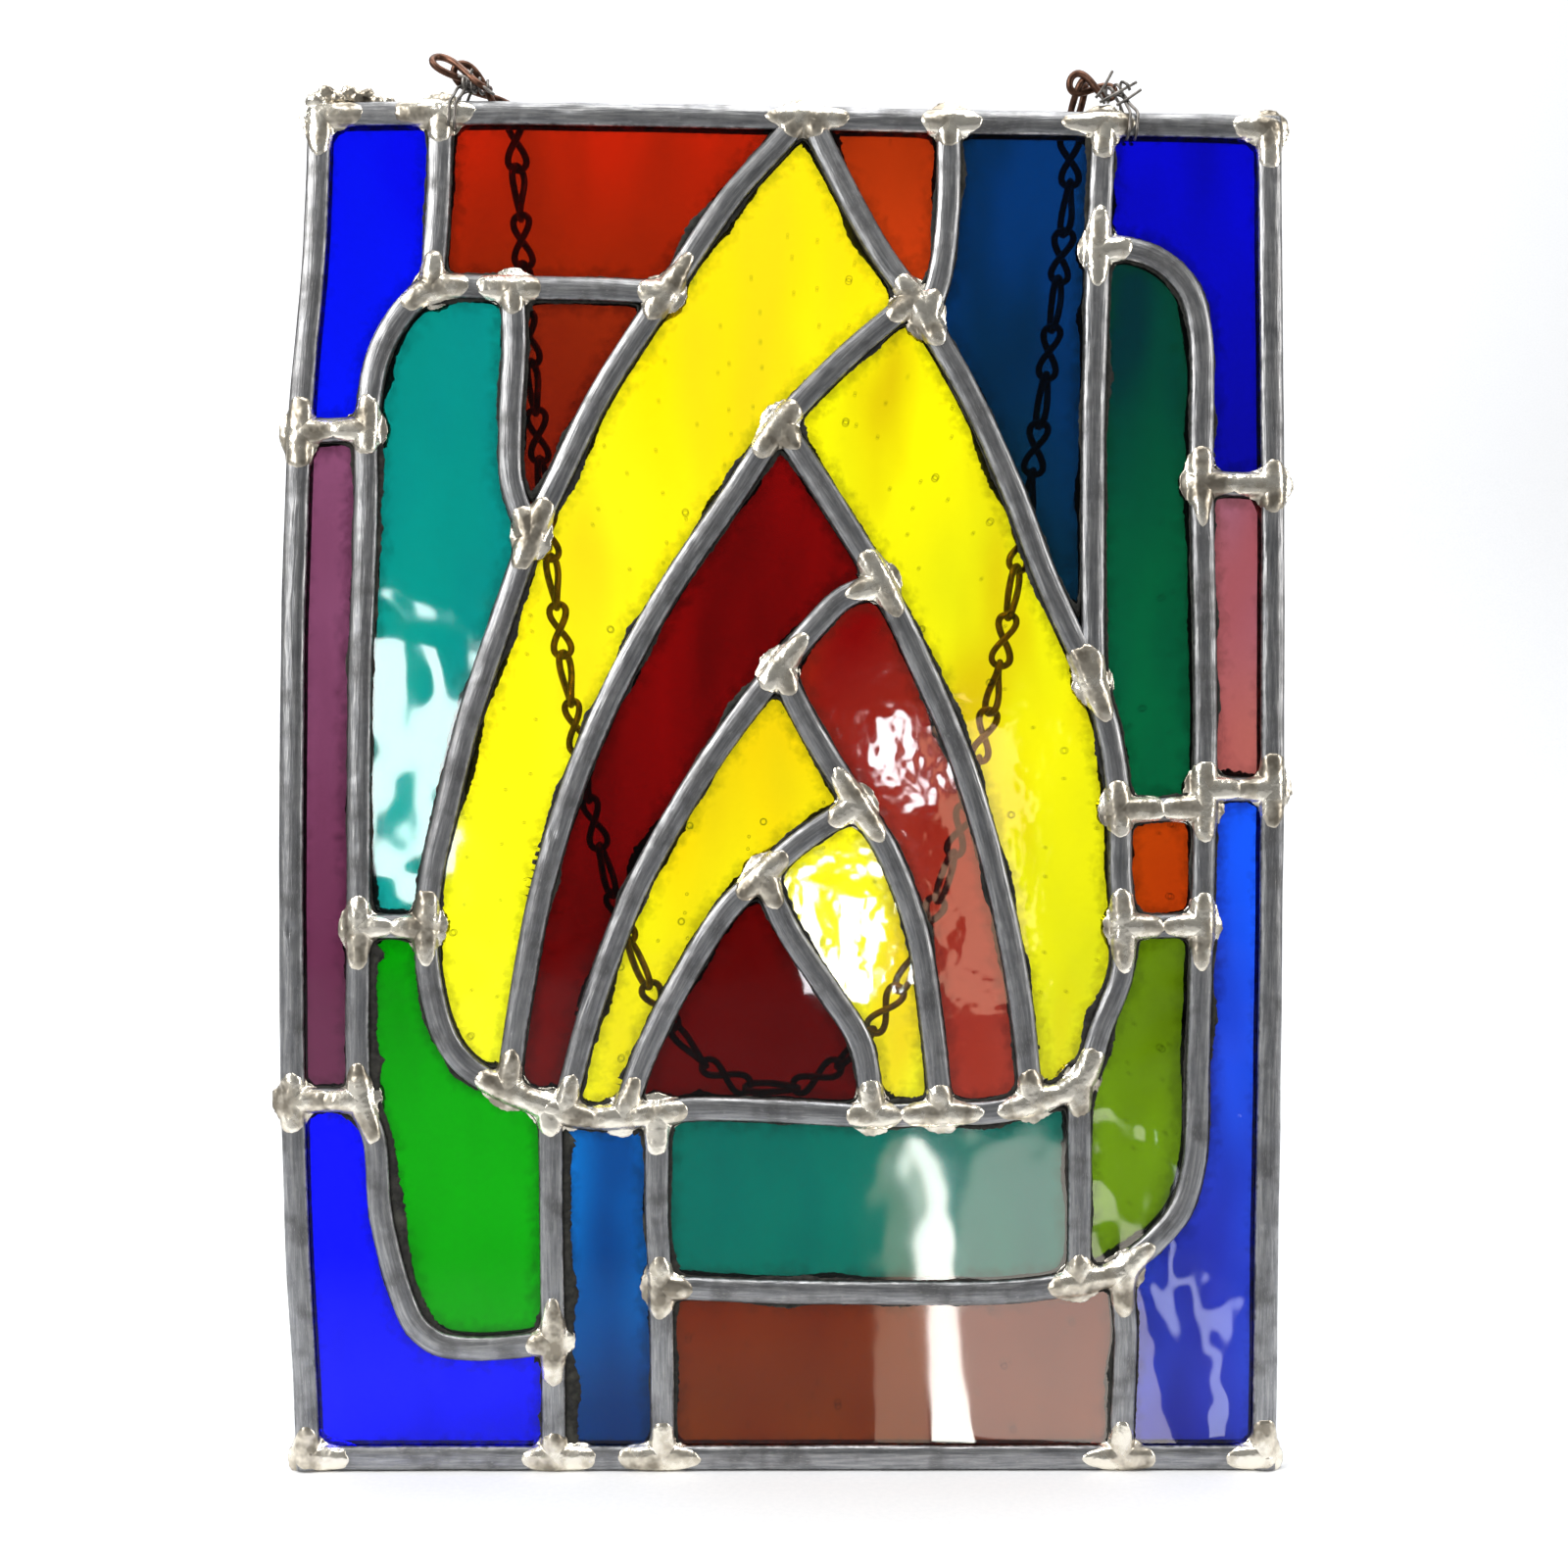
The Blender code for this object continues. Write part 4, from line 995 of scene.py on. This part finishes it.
# Cement starts under the lead's flange, this far before the flange's own edge.
CEMENT_LAP = 0.35
CEMENT_FROM = CAME_HALF - CAME_HEART / 2 - EDGE_PLAY - CEMENT_LAP

# How much more near-black cement shows along the left side of some panes, on the front: partly cement,
# partly a painted shadow of the lead.
LEFT_CEMENT_AND_SHADOW = {"pane_lower_left": 1.7, "pane_bottom_left_middle": 1.9, "pane_bottom_middle": 0.7,
              "pane_sill": 0.5, "pane_bottom_corner_right": 0.4, "pane_right_tall": 0.6,
              "pane_top_left": 0.5, "pane_notch": 0.5}


def edge_field(points, stretches):
    """Distance in from a pane's edges, blended round its corners, and which way it grows."""
    total = np.zeros(len(points))
    slope = np.zeros((len(points), 2))
    rows = np.arange(len(points))
    for starts, steps in stretches:
        gaps = points[:, None, :] - starts[None, :, :]
        share = np.clip((gaps * steps).sum(2) / (steps ** 2).sum(1), 0, 1)
        gaps = gaps - share[:, :, None] * steps
        distances = np.hypot(gaps[:, :, 0], gaps[:, :, 1])
        nearest = distances.argmin(1)
        distance = distances[rows, nearest]
        weight = np.exp(-distance / CEMENT_SOFT)
        total += weight
        slope += gaps[rows, nearest] * (weight / np.maximum(distance, 1e-6))[:, None]
    return -CEMENT_SOFT * np.log(total), slope / np.maximum(np.hypot(*slope.T), 1e-9)[:, None]


def cement_breadth(here, facing, cement_and_shadow_left, seed):
    """How far cement shows past the lead at each point: thin, with broad ragged patches, and a band along
    left sides that is partly painted shadow.
    """
    broad = []
    for (x, z), left in zip(here, facing):
        patch = max(0.0, wave(x, 0, z, 13.0, seed) - 0.02) + 0.5 * max(0.0, wave(x, 7, z, 5.0, seed) - 0.1)
        rough = abs(wave(x, 0, z, 1.5, seed)) + 0.6 * abs(wave(x, 3, z, 0.6, seed))
        cement_and_shadow_extra = cement_and_shadow_left * left * (0.75 + 0.35 * wave(x, 9, z, 9.0, seed) + 0.25 * rough)
        broad.append(0.06 + 1.7 * patch ** 1.5 + 0.8 * rough * (0.2 + patch) + cement_and_shadow_extra)
    return np.array(broad)


def marched(here, stretches, target):
    """Moves points in from a pane's edges until each lies as deep as its target."""
    for _ in range(CEMENT_STEPS):
        level, way = edge_field(here, stretches)
        step = np.clip(target - level, 0, CEMENT_STEP)
        if step.max() < CEMENT_NEAR:
            break
        here = here + way * step[:, None]
    return here


def cement_ring(name, side):
    """A ragged ring of cement on one face of a pane, filling its corners with rounds."""
    stretches = []
    for edge in pane_edges(name):
        run = offset_stretch(*edge)[1:-1]
        run = array_of(run[::2] + ([] if len(run) % 2 else run[-1:]))
        stretches.append((run[:-1], run[1:] - run[:-1]))
    seed = seed_of(name, 0.19) + side * 2.3
    here = array_of(pane_outline(name))
    here = np.stack([here, (here + np.roll(here, -1, axis=0)) / 2], 1).reshape(-1, 2)
    towards = here.mean(0) - here
    here = here + towards * (0.05 / np.maximum(np.hypot(*towards.T), 1))[:, None]
    facing = np.clip(edge_field(here, stretches)[1][:, 0], 0, 1) ** 1.5
    # Only the front gets the band along left sides, which is partly painted shadow.
    broad = cement_breadth(here, facing, LEFT_CEMENT_AND_SHADOW.get(name, 0.1) if side == FRONT else 0.0, seed)
    rings = []
    shown_from = CEMENT_FROM + CEMENT_LAP
    for target in (CEMENT_FROM, shown_from, shown_from + broad * 0.6, shown_from + broad):
        here = marched(here, stretches, target)
        rings.append(here)
    levels = [(rings[0], -0.14), (rings[1], 0.34), (rings[2], 0.2), (rings[3], 0.05), (rings[3], -0.14)]
    points = []
    for number, (ring, rise) in enumerate(levels):
        for x, z in ring:
            crumb = 0.12 * wave(x, 5, z, 0.8, seed) if number in (1, 2) else 0.0
            points.append((x, side * (HALF_GLASS + rise + crumb), z))
    return points, band_faces(len(levels), len(here), closed=True)


def cement(name, side, material):
    points, faces = joined([cement_ring(pane_name, side) for pane_name in PANES])
    new_object(name, points, faces, material)


# Chain and wire

# The chain hangs in a catenary that leans a little to one side, behind the panel.
CHAIN_SAG = 207.0
CHAIN_CURVE = 19.1
CHAIN_LEAN = 4.0
CHAIN_Y = CROWN_Y + 3.2 + 2.25
CHAIN_PITCH = 10.5
CHAIN_WIRE = 1.5
EYE_REACH = 1.8
CHAIN_TOP = -7
TIE_RADIUS = 0.32
COIL_RADIUS = 1.35
COIL_TURNS = 3.5

# How finely the chain's line, a link, a strand and a wire's round are drawn.
CHAIN_STOPS = 160
LINK_STOPS = 40
STRAND_STEPS = 5
STOPS_A_TURN = 8
WIRE_SIDES = 8

# The two end links at each side rise above the panel: ends of each link, then its quarter turn.
END_LINKS = [
    ((-76.0, -0.6, 10.2), (-65.2, -0.4, 4.4), 0.95),
    ((-71.6, 0.4, 8.8), (-60.2, 5.6, 0.6), 0.25),
    ((58.0, -0.5, 7.6), (66.6, -0.4, 5.3), 0.15),
    ((60.6, 0.5, 7.9), (58.4, 5.0, -1.6), 1.45),
]

# Each tie: where its two strands cross the border, its coil's axis, and its loose cut ends.
TIES = {
    "left": ((-72.6, -71.3), ((-70.6, -0.9, 5.2), (-64.6, -0.7, 4.2)),
             [((-69.6, -1.6, 4.4), (-67.9, -2.6, 7.4)), ((-66.6, -1.8, 4.6), (-63.4, -2.4, 2.2)),
              ((-71.0, -1.6, 6.4), (-68.0, -2.2, 5.0))]),
    "right": ((69.6, 71.2), ((64.2, -0.9, 4.2), (69.6, -0.8, 6.4)),
              [((62.8, -1.8, 3.7), (66.2, -2.2, 9.2)), ((63.6, -2.2, 2.6), (71.4, -1.6, 7.2)),
               ((67.2, -1.8, 2.2), (72.2, -2.4, 5.3)), ((62.9, -1.2, 5.2), (64.6, -2.0, 2.4))]),
}


def wire_along(points, radius, closed=False):
    """Points and faces of a round wire along a path with two ends, or along a closed loop."""
    count = len(points)
    out = []
    side = None
    for k, here in enumerate(points):
        if closed:
            along = (points[(k + 1) % count] - points[k - 1]).normalized()
        else:
            along = (points[min(k + 1, count - 1)] - points[max(k - 1, 0)]).normalized()
        if side is None:
            side = along.orthogonal()
        side = (side - along * side.dot(along)).normalized()
        other = along.cross(side)
        for n in range(WIRE_SIDES):
            angle = 2 * math.pi * n / WIRE_SIDES
            out.append(here + side * (math.cos(angle) * radius) + other * (math.sin(angle) * radius))
    last = len(out) - WIRE_SIDES
    faces = band_faces(count, WIRE_SIDES)
    if closed:
        spoke = out[0] - points[0]
        slip = min(range(WIRE_SIDES), key=lambda n: (out[last + n] - points[-1] - spoke).length)
        for n in range(WIRE_SIDES):
            after = (n + 1) % WIRE_SIDES
            faces.append((last + n, last + after, (after - slip) % WIRE_SIDES, (n - slip) % WIRE_SIDES))
    else:
        faces.append(tuple(reversed(range(WIRE_SIDES))))
        faces.append(tuple(range(last, len(out))))
    return out, faces


def chain_path():
    """The hanging part's middle line, between the two end links that go behind the panel."""
    span = CHAIN_CURVE * math.acosh(1 + CHAIN_SAG / CHAIN_CURVE)
    hang = []
    for k in range(CHAIN_STOPS + 1):
        x = -span + 2 * span * k / CHAIN_STOPS
        z = -CHAIN_SAG + CHAIN_CURVE * (math.cosh(x / CHAIN_CURVE) - 1)
        if z < CHAIN_TOP:
            hang.append(Vector((x + CHAIN_LEAN * z / CHAIN_SAG, CHAIN_Y, z)))
    return [Vector(END_LINKS[1][1])] + hang + [Vector(END_LINKS[3][1])]


def link_joints(path):
    """Points along a path that divide it into links of one length."""
    total = length_of(path)
    count = round(total / CHAIN_PITCH)
    step = total / count
    joints = [path[0]]
    walked = 0.0
    target = step
    for a, b in zip(path, path[1:]):
        length = (b - a).length
        while target <= walked + length + 1e-6 and len(joints) < count:
            joints.append(a + (b - a) * ((target - walked) / length))
            target += step
        walked += length
    joints.append(path[-1])
    return joints


def figure_eight(a, b, turn, draw):
    """A bent wire link from a to b: two eyes and a crossing where the wire passes over itself."""
    along = (b - a).normalized()
    level = (Vector((0, 1, 0)) - along * along.y).normalized()
    other = along.cross(level)
    across = other * math.cos(turn) + level * math.sin(turn)
    through = level * math.cos(turn) - other * math.sin(turn)
    half = (b - a).length / 2 + 0.45
    eye = EYE_REACH * draw.uniform(0.92, 1.08)
    points = []
    for k in range(LINK_STOPS):
        t = 2 * math.pi * k / LINK_STOPS
        x = half * math.sin(t)
        y = eye * math.sin(2 * t) * (1.12 - 0.12 * abs(math.sin(t)))
        z = 0.62 * CHAIN_WIRE * math.cos(t)
        points.append((a + b) / 2 + along * x + across * y + through * z)
    return wire_along(points, CHAIN_WIRE / 2, closed=True)


def chain(material):
    draw = random.Random(4)
    joints = link_joints(chain_path())
    spans = [(a, b, math.pi / 2 * (k % 2) + draw.uniform(-0.25, 0.25))
             for k, (a, b) in enumerate(zip(joints, joints[1:]))]
    spans += [(Vector(a), Vector(b), turn) for a, b, turn in END_LINKS]
    points, faces = joined([figure_eight(a, b, turn, draw) for a, b, turn in spans])
    new_object("chain_links", points, faces, material, ["hanging_chain"])


def smooth_wire(stops):
    padded = [stops[0] * 2 - stops[1]] + stops + [stops[-1] * 2 - stops[-2]]
    out = [stops[0]]
    for k in range(1, len(stops)):
        for n in range(1, STRAND_STEPS + 1):
            share = n / STRAND_STEPS
            out.append(rounded(padded[k - 1], padded[k], padded[k + 1], padded[k + 2], share))
    return out


def coil(start, end, draw):
    """Stops of a loose wire coil between two points."""
    start, end = Vector(start), Vector(end)
    along = (end - start).normalized()
    side = along.orthogonal().normalized()
    other = along.cross(side)
    stops = []
    count = int(COIL_TURNS * STOPS_A_TURN)
    for k in range(count + 1):
        angle = 2 * math.pi * COIL_TURNS * k / count
        reach = COIL_RADIUS * draw.uniform(0.82, 1.2)
        middle = start + (end - start) * (k / count)
        stops.append(middle + side * (math.cos(angle) * reach) + other * (math.sin(angle) * reach))
    return stops


def strand_over(x, middle, number):
    """Stops of one strand that goes up the front, through the chain's eye and down the back."""
    leg = CROWN_Y + 0.95
    lean = (middle.x - x) * (0.35 + 0.25 * number)
    return [Vector(stop) for stop in (
        (x - 0.2, -HALF_GLASS - 0.3, -5.1), (x - 0.1, -leg + 0.3, -4.2), (x, -leg, -2.4),
        (x + 0.1, -leg + 0.1, -0.2), (x + lean * 0.5, -2.1, 2.4), (x + lean, -0.9, 4.4 + 0.6 * number),
        (middle.x, 0.4, middle.z + 0.7 * number), (x + lean, 1.6, 3.8), (x + lean * 0.4, leg - 0.5, 1.2),
        (x, leg, -1.6), (x - 0.1, leg - 0.3, -4.2), (x - 0.1, HALF_GLASS + 0.3, -5.0))]


def tie(word, material):
    """Two strands over the border, wound round the chain's last eye, with loose cut ends."""
    crossings, axis, loose = TIES[word]
    draw = random.Random(word)
    middle = (Vector(axis[0]) + Vector(axis[1])) / 2
    strands = [coil(*axis, draw)]
    strands += [strand_over(x, middle, number) for number, x in enumerate(crossings)]
    for a, b in loose:
        a, b = Vector(a), Vector(b)
        bow = Vector((draw.uniform(-0.4, 0.4), -0.3, draw.uniform(-0.4, 0.4)))
        strands.append([a, (a * 2 + b) / 3 + bow, (a + b * 2) / 3 + bow * 0.6, b])
    points, faces = joined([wire_along(smooth_wire(strand), TIE_RADIUS) for strand in strands])
    new_object("tie_" + word + "_wire", points, faces, material, ["tie_" + word])


# Corner lumps of solder

LEFT = -PANEL_WIDTH / 2
RIGHT = PANEL_WIDTH / 2
FOOT = -PANEL_HEIGHT
SQUASH = (1.0, 0.9, 0.8)
MELT_SIZE = 0.28

# Drops that melt into each lump: their places and radii.
LUMPS = {
    "solder_lump_top_left": [
        (LEFT + 1.6, -0.9, 0.6, 2.7), (LEFT + 0.6, -1.5, -3.0, 1.8), (LEFT + 3.6, -1.6, 2.4, 1.9),
        (LEFT + 5.6, -0.4, 1.6, 2.4), (LEFT + 8.2, -1.2, 2.9, 1.6), (LEFT + 9.6, -0.3, 1.8, 2.2),
        (LEFT + 12.2, -1.0, 2.4, 1.5), (LEFT + 13.6, -0.3, 1.2, 1.8), (LEFT + 16.4, -0.7, 0.9, 1.3),
        (LEFT + 18.2, -0.5, 0.4, 0.9), (LEFT + 0.9, 1.2, -0.6, 2.0), (LEFT + 6.8, 1.1, 1.2, 1.7)],
    "solder_lump_bottom_left": [
        (LEFT + 1.2, -1.5, FOOT + 2.6, 1.7), (LEFT + 3.2, -2.0, FOOT + 3.4, 1.6),
        (LEFT + 4.4, -1.8, FOOT + 2.6, 1.3), (LEFT + 2.2, -1.6, FOOT + 4.8, 1.2)],
    "solder_lump_bottom_right": [
        (RIGHT - 2.0, -1.8, FOOT + 2.2, 1.9), (RIGHT - 3.6, -1.9, FOOT + 4.4, 1.4),
        (RIGHT - 0.6, -1.2, FOOT + 1.6, 1.3), (RIGHT - 5.2, -1.9, FOOT + 2.2, 1.4),
        (RIGHT - 1.6, -1.9, FOOT + 6.6, 1.2), (RIGHT - 6.6, -2.0, FOOT + 2.8, 1.1)],
    "solder_lump_top_right": [
        (RIGHT - 14.6, -0.6, 0.0, 1.0), (RIGHT - 16.6, -0.4, 0.1, 1.1), (RIGHT - 1.4, -0.8, -1.2, 1.5)],
}


def melted(name, drops):
    """One closed mesh round overlapping drops."""
    shell = bmesh.new()
    for *place_at, radius in drops:
        made = bmesh.ops.create_icosphere(shell, subdivisions=3, radius=radius)
        for v in made["verts"]:
            v.co = Vector(c * squash + at for c, squash, at in zip(v.co, SQUASH, place_at))
    mesh = bpy.data.meshes.new(name)
    shell.to_mesh(mesh)
    shell.free()
    made = bpy.data.objects.new(name, mesh)
    bpy.context.scene.collection.objects.link(made)
    melt = made.modifiers.new("melt", "REMESH")
    melt.mode = "VOXEL"
    melt.voxel_size = MELT_SIZE
    graph = bpy.context.evaluated_depsgraph_get()
    result = bpy.data.meshes.new_from_object(made.evaluated_get(graph))
    bpy.data.objects.remove(made)
    return result


def corner_lumps(material):
    """Messy solder built up from overlapping drops, with a rough skin."""
    for name, drops in LUMPS.items():
        mesh = melted(name, drops)
        points = []
        for v in mesh.vertices:
            push = 0.55 * wave(*v.co, 2.0, 3.0) + 0.22 * wave(*v.co, 0.9, 8.0)
            points.append(tuple(v.co + v.normal * push))
        lump = new_object(name, points, [tuple(p.vertices) for p in mesh.polygons], material)
        add_layer(lump, "rim", [0.0] * len(points))


# Stage, lights and camera, in metres

HALF_STAGE = 1.8
STAGE_TOP = 1.6


def floor_material():
    """A pale surface that falls into shade in front of the panel."""
    made, tree, shader = new_material("pale_floor")
    weave = colour_ramp(tree, noise_of(tree, 900.0, 3.0), [(0.3, (0.80, 0.815, 0.84)),
                                                           (0.7, (0.84, 0.85, 0.87))])
    shade = value_between(tree, coordinate_of(tree, "Y"), 1.0, 0.0, -0.16, -0.055)
    fill(shader, {"Base Color": tinted(tree, shade, weave, (0.26, 0.265, 0.275)), "Roughness": 0.95,
                  "Specular IOR Level": 0.1})
    return made


def glow_material():
    """A pale surface that lights itself."""
    made, tree, shader = new_material("front_glow")
    share = value_between(tree, coordinate_of(tree, "Y"), 1.0, 0.0, -1.0, -0.4)
    glow = colour_ramp(tree, share, [(0.0, (0.47, 0.475, 0.48)), (1.0, (0.80, 0.81, 0.83))])
    fill(shader, {"Emission Color": glow, "Emission Strength": 1.0, "Base Color": (0.0, 0.0, 0.0, 1.0),
                  "Roughness": 1.0})
    made.cycles.emission_sampling = "NONE"
    return made


def cove(name, floor, starts, bend, steps, material):
    """A floor with points at some y that bends up into a wall."""
    way = 1 if starts[-1] > starts[0] else -1
    profile = [(y, floor) for y in starts]
    for k in range(1, steps + 1):
        angle = math.pi / 2 * k / steps
        profile.append((starts[-1] + way * bend * math.sin(angle), floor + bend * (1 - math.cos(angle))))
    profile.append((starts[-1] + way * bend, STAGE_TOP))
    points = []
    for y, z in profile:
        points += [(-HALF_STAGE * way, y, z), (HALF_STAGE * way, y, z)]
    faces = [(2 * k, 2 * k + 1, 2 * k + 3, 2 * k + 2) for k in range(len(profile) - 1)]
    mesh = bpy.data.meshes.new(name)
    mesh.from_pydata(points, [], faces)
    mesh.shade_smooth()
    mesh.materials.append(material)
    made = bpy.data.objects.new(name, mesh)
    bpy.context.scene.collection.objects.link(made)
    return made


def stage():
    """A pale floor and backdrop, and a glowing one behind the camera, against which the back is seen."""
    cove("pale_cove", FOOT / 1000 - 0.0003, (-1.6, -0.4, 0.35), 0.35, 12, floor_material())
    front = cove("front_cove", FOOT / 1000 + 0.001, (-0.40, -0.6, -0.8), 0.3, 8, glow_material())
    front.visible_glossy = False
    front.visible_diffuse = False
    front.visible_shadow = False


def area_light(name, at, towards, size, energy, colour=(1, 1, 1)):
    data = bpy.data.lights.new(name, "AREA")
    data.shape = "RECTANGLE"
    data.size, data.size_y = size
    data.energy = energy
    data.color = colour
    made = bpy.data.objects.new(name, data)
    made.location = at
    made.rotation_euler = (Vector(towards) - Vector(at)).to_track_quat("-Z", "Y").to_euler()
    bpy.context.scene.collection.objects.link(made)
    return made


def lights():
    world = bpy.data.worlds.new("soft_light")
    world.use_nodes = True
    fill(world.node_tree.nodes["Background"], {"Color": (0.90, 0.95, 1.0, 1.0), "Strength": 0.06})
    bpy.context.scene.world = world
    area_light("wall_wash", (0.0, 0.12, 0.95), (0, 0.62, -0.2), (1.8, 0.4), 10.0)
    area_light("overhead", (-0.05, 0.1, 0.85), (0, 0.12, -0.28), (1.2, 0.35), 3.0)
    area_light("left_key", (-0.70, -0.48, 0.40), (0, 0, -0.13), (0.35, 0.35), 7.0, (1.0, 0.98, 0.95))
    area_light("left_strip", (-0.55, -0.72, 0.02), (0, 0, -0.14), (0.05, 0.4), 1.6, (1.0, 0.99, 0.97))
    area_light("top_key", (0.05, -0.42, 0.62), (0, 0, -0.13), (0.5, 0.12), 2.8, (1.0, 0.99, 0.97))
    area_light("right_fill", (0.75, -0.35, 0.1), (0, 0, -0.15), (0.2, 0.6), 2.8, (1.0, 0.97, 0.93))


# Cards far from the panes: place, what they face, size, energy and colour.
CARDS = {
    "card_high": ((0.090, -0.8, -0.112), (0.05, 0, -0.12), (0.04, 0.05), 0.22, (0.94, 0.97, 1.0)),
    "card_low": ((0.056, -0.8, -0.235), (0.03, 0, -0.17), (0.05, 0.09), 0.70, (0.94, 0.97, 1.0)),
    "card_warm": ((0.152, -0.8, -0.19), (0.06, 0, -0.16), (0.055, 0.20), 0.20, (1.0, 0.62, 0.42)),
    "card_left": ((-0.24, -0.8, -0.12), (-0.07, 0, -0.14), (0.05, 0.17), 0.70, (0.9, 1.0, 1.0)),
}

# Cards that lie on the floor before the panel: x, width, turn in degrees, energy and colour.
LOW_CARDS = {
    "low_card_a": (0.049, 0.009, 4.7, 0.60, (1.0, 0.96, 0.88)),
    "low_card_b": (0.081, 0.050, 7.9, 0.60, (1.0, 0.92, 0.82)),
    "low_card_c": (0.127, 0.004, 12.0, 0.06, (0.85, 0.9, 1.0)),
    "low_card_d": (0.0385, 0.012, 5.0, 0.09, (1.0, 0.75, 0.55)),
}
LOW_CARD_Y = -0.171
LOW_CARD_LENGTH = 0.316


def mirrored_cards(panes):
    """Bright cards that show only as reflections in the panes."""
    lit = bpy.data.collections.new("panes_that_mirror")
    for made in panes:
        lit.objects.link(made)
    cards = [area_light(name, *card) for name, card in CARDS.items()]
    for name, (x, width, turn, energy, colour) in LOW_CARDS.items():
        at = (x, LOW_CARD_Y, FOOT / 1000 + 0.0006)
        card = area_light(name, at, (x, LOW_CARD_Y, 1.0), (width, LOW_CARD_LENGTH), energy, colour)
        card.rotation_euler = (math.pi, 0.0, math.radians(turn))
        cards.append(card)
    for card in cards:
        card.light_linking.receiver_collection = lit
        card.visible_camera = False
        card.visible_transmission = False
        card.visible_diffuse = False


# The photo's frame and focal length in pixels, then the camera's place and tilt.
FRAME_PIXELS = 1600
FOCAL_PIXELS = 1700
SENSOR = 36.0
CAMERA_PLACE = (-0.00867, -0.3501, -0.14408)
CAMERA_TILT = (90.465, -0.382, -1.116)


def camera():
    data = bpy.data.cameras.new("photo_view")
    data.sensor_width = SENSOR
    data.lens = SENSOR * FOCAL_PIXELS / FRAME_PIXELS
    data.clip_start = 0.01
    data.clip_end = 20.0
    made = bpy.data.objects.new("photo_view", data)
    made.location = CAMERA_PLACE
    made.rotation_euler = [math.radians(angle) for angle in CAMERA_TILT]
    bpy.context.scene.collection.objects.link(made)
    bpy.context.scene.camera = made


def build():
    lead_look = lead_material()
    solder_look = solder_material()
    cement_look = cement_material()
    for name in PATHS:
        lead(name, lead_look)
    for side, word in ((FRONT, "front"), (BACK, "back")):
        solder("solder_" + word, side, solder_look)
        cement("cement_" + word, side, cement_look)
    panes = all_panes()
    chain(wire_material("tarnished_copper", (0.035, 0.018, 0.012), (0.20, 0.095, 0.06), 0.42))
    wire_look = wire_material("tie_wire_look", (0.05, 0.047, 0.043), (0.30, 0.28, 0.26), 0.4)
    for word in TIES:
        tie(word, wire_look)
    corner_lumps(solder_look)
    stage()
    lights()
    mirrored_cards(panes)
    camera()
    bpy.context.scene.view_settings.view_transform = "Standard"


build()
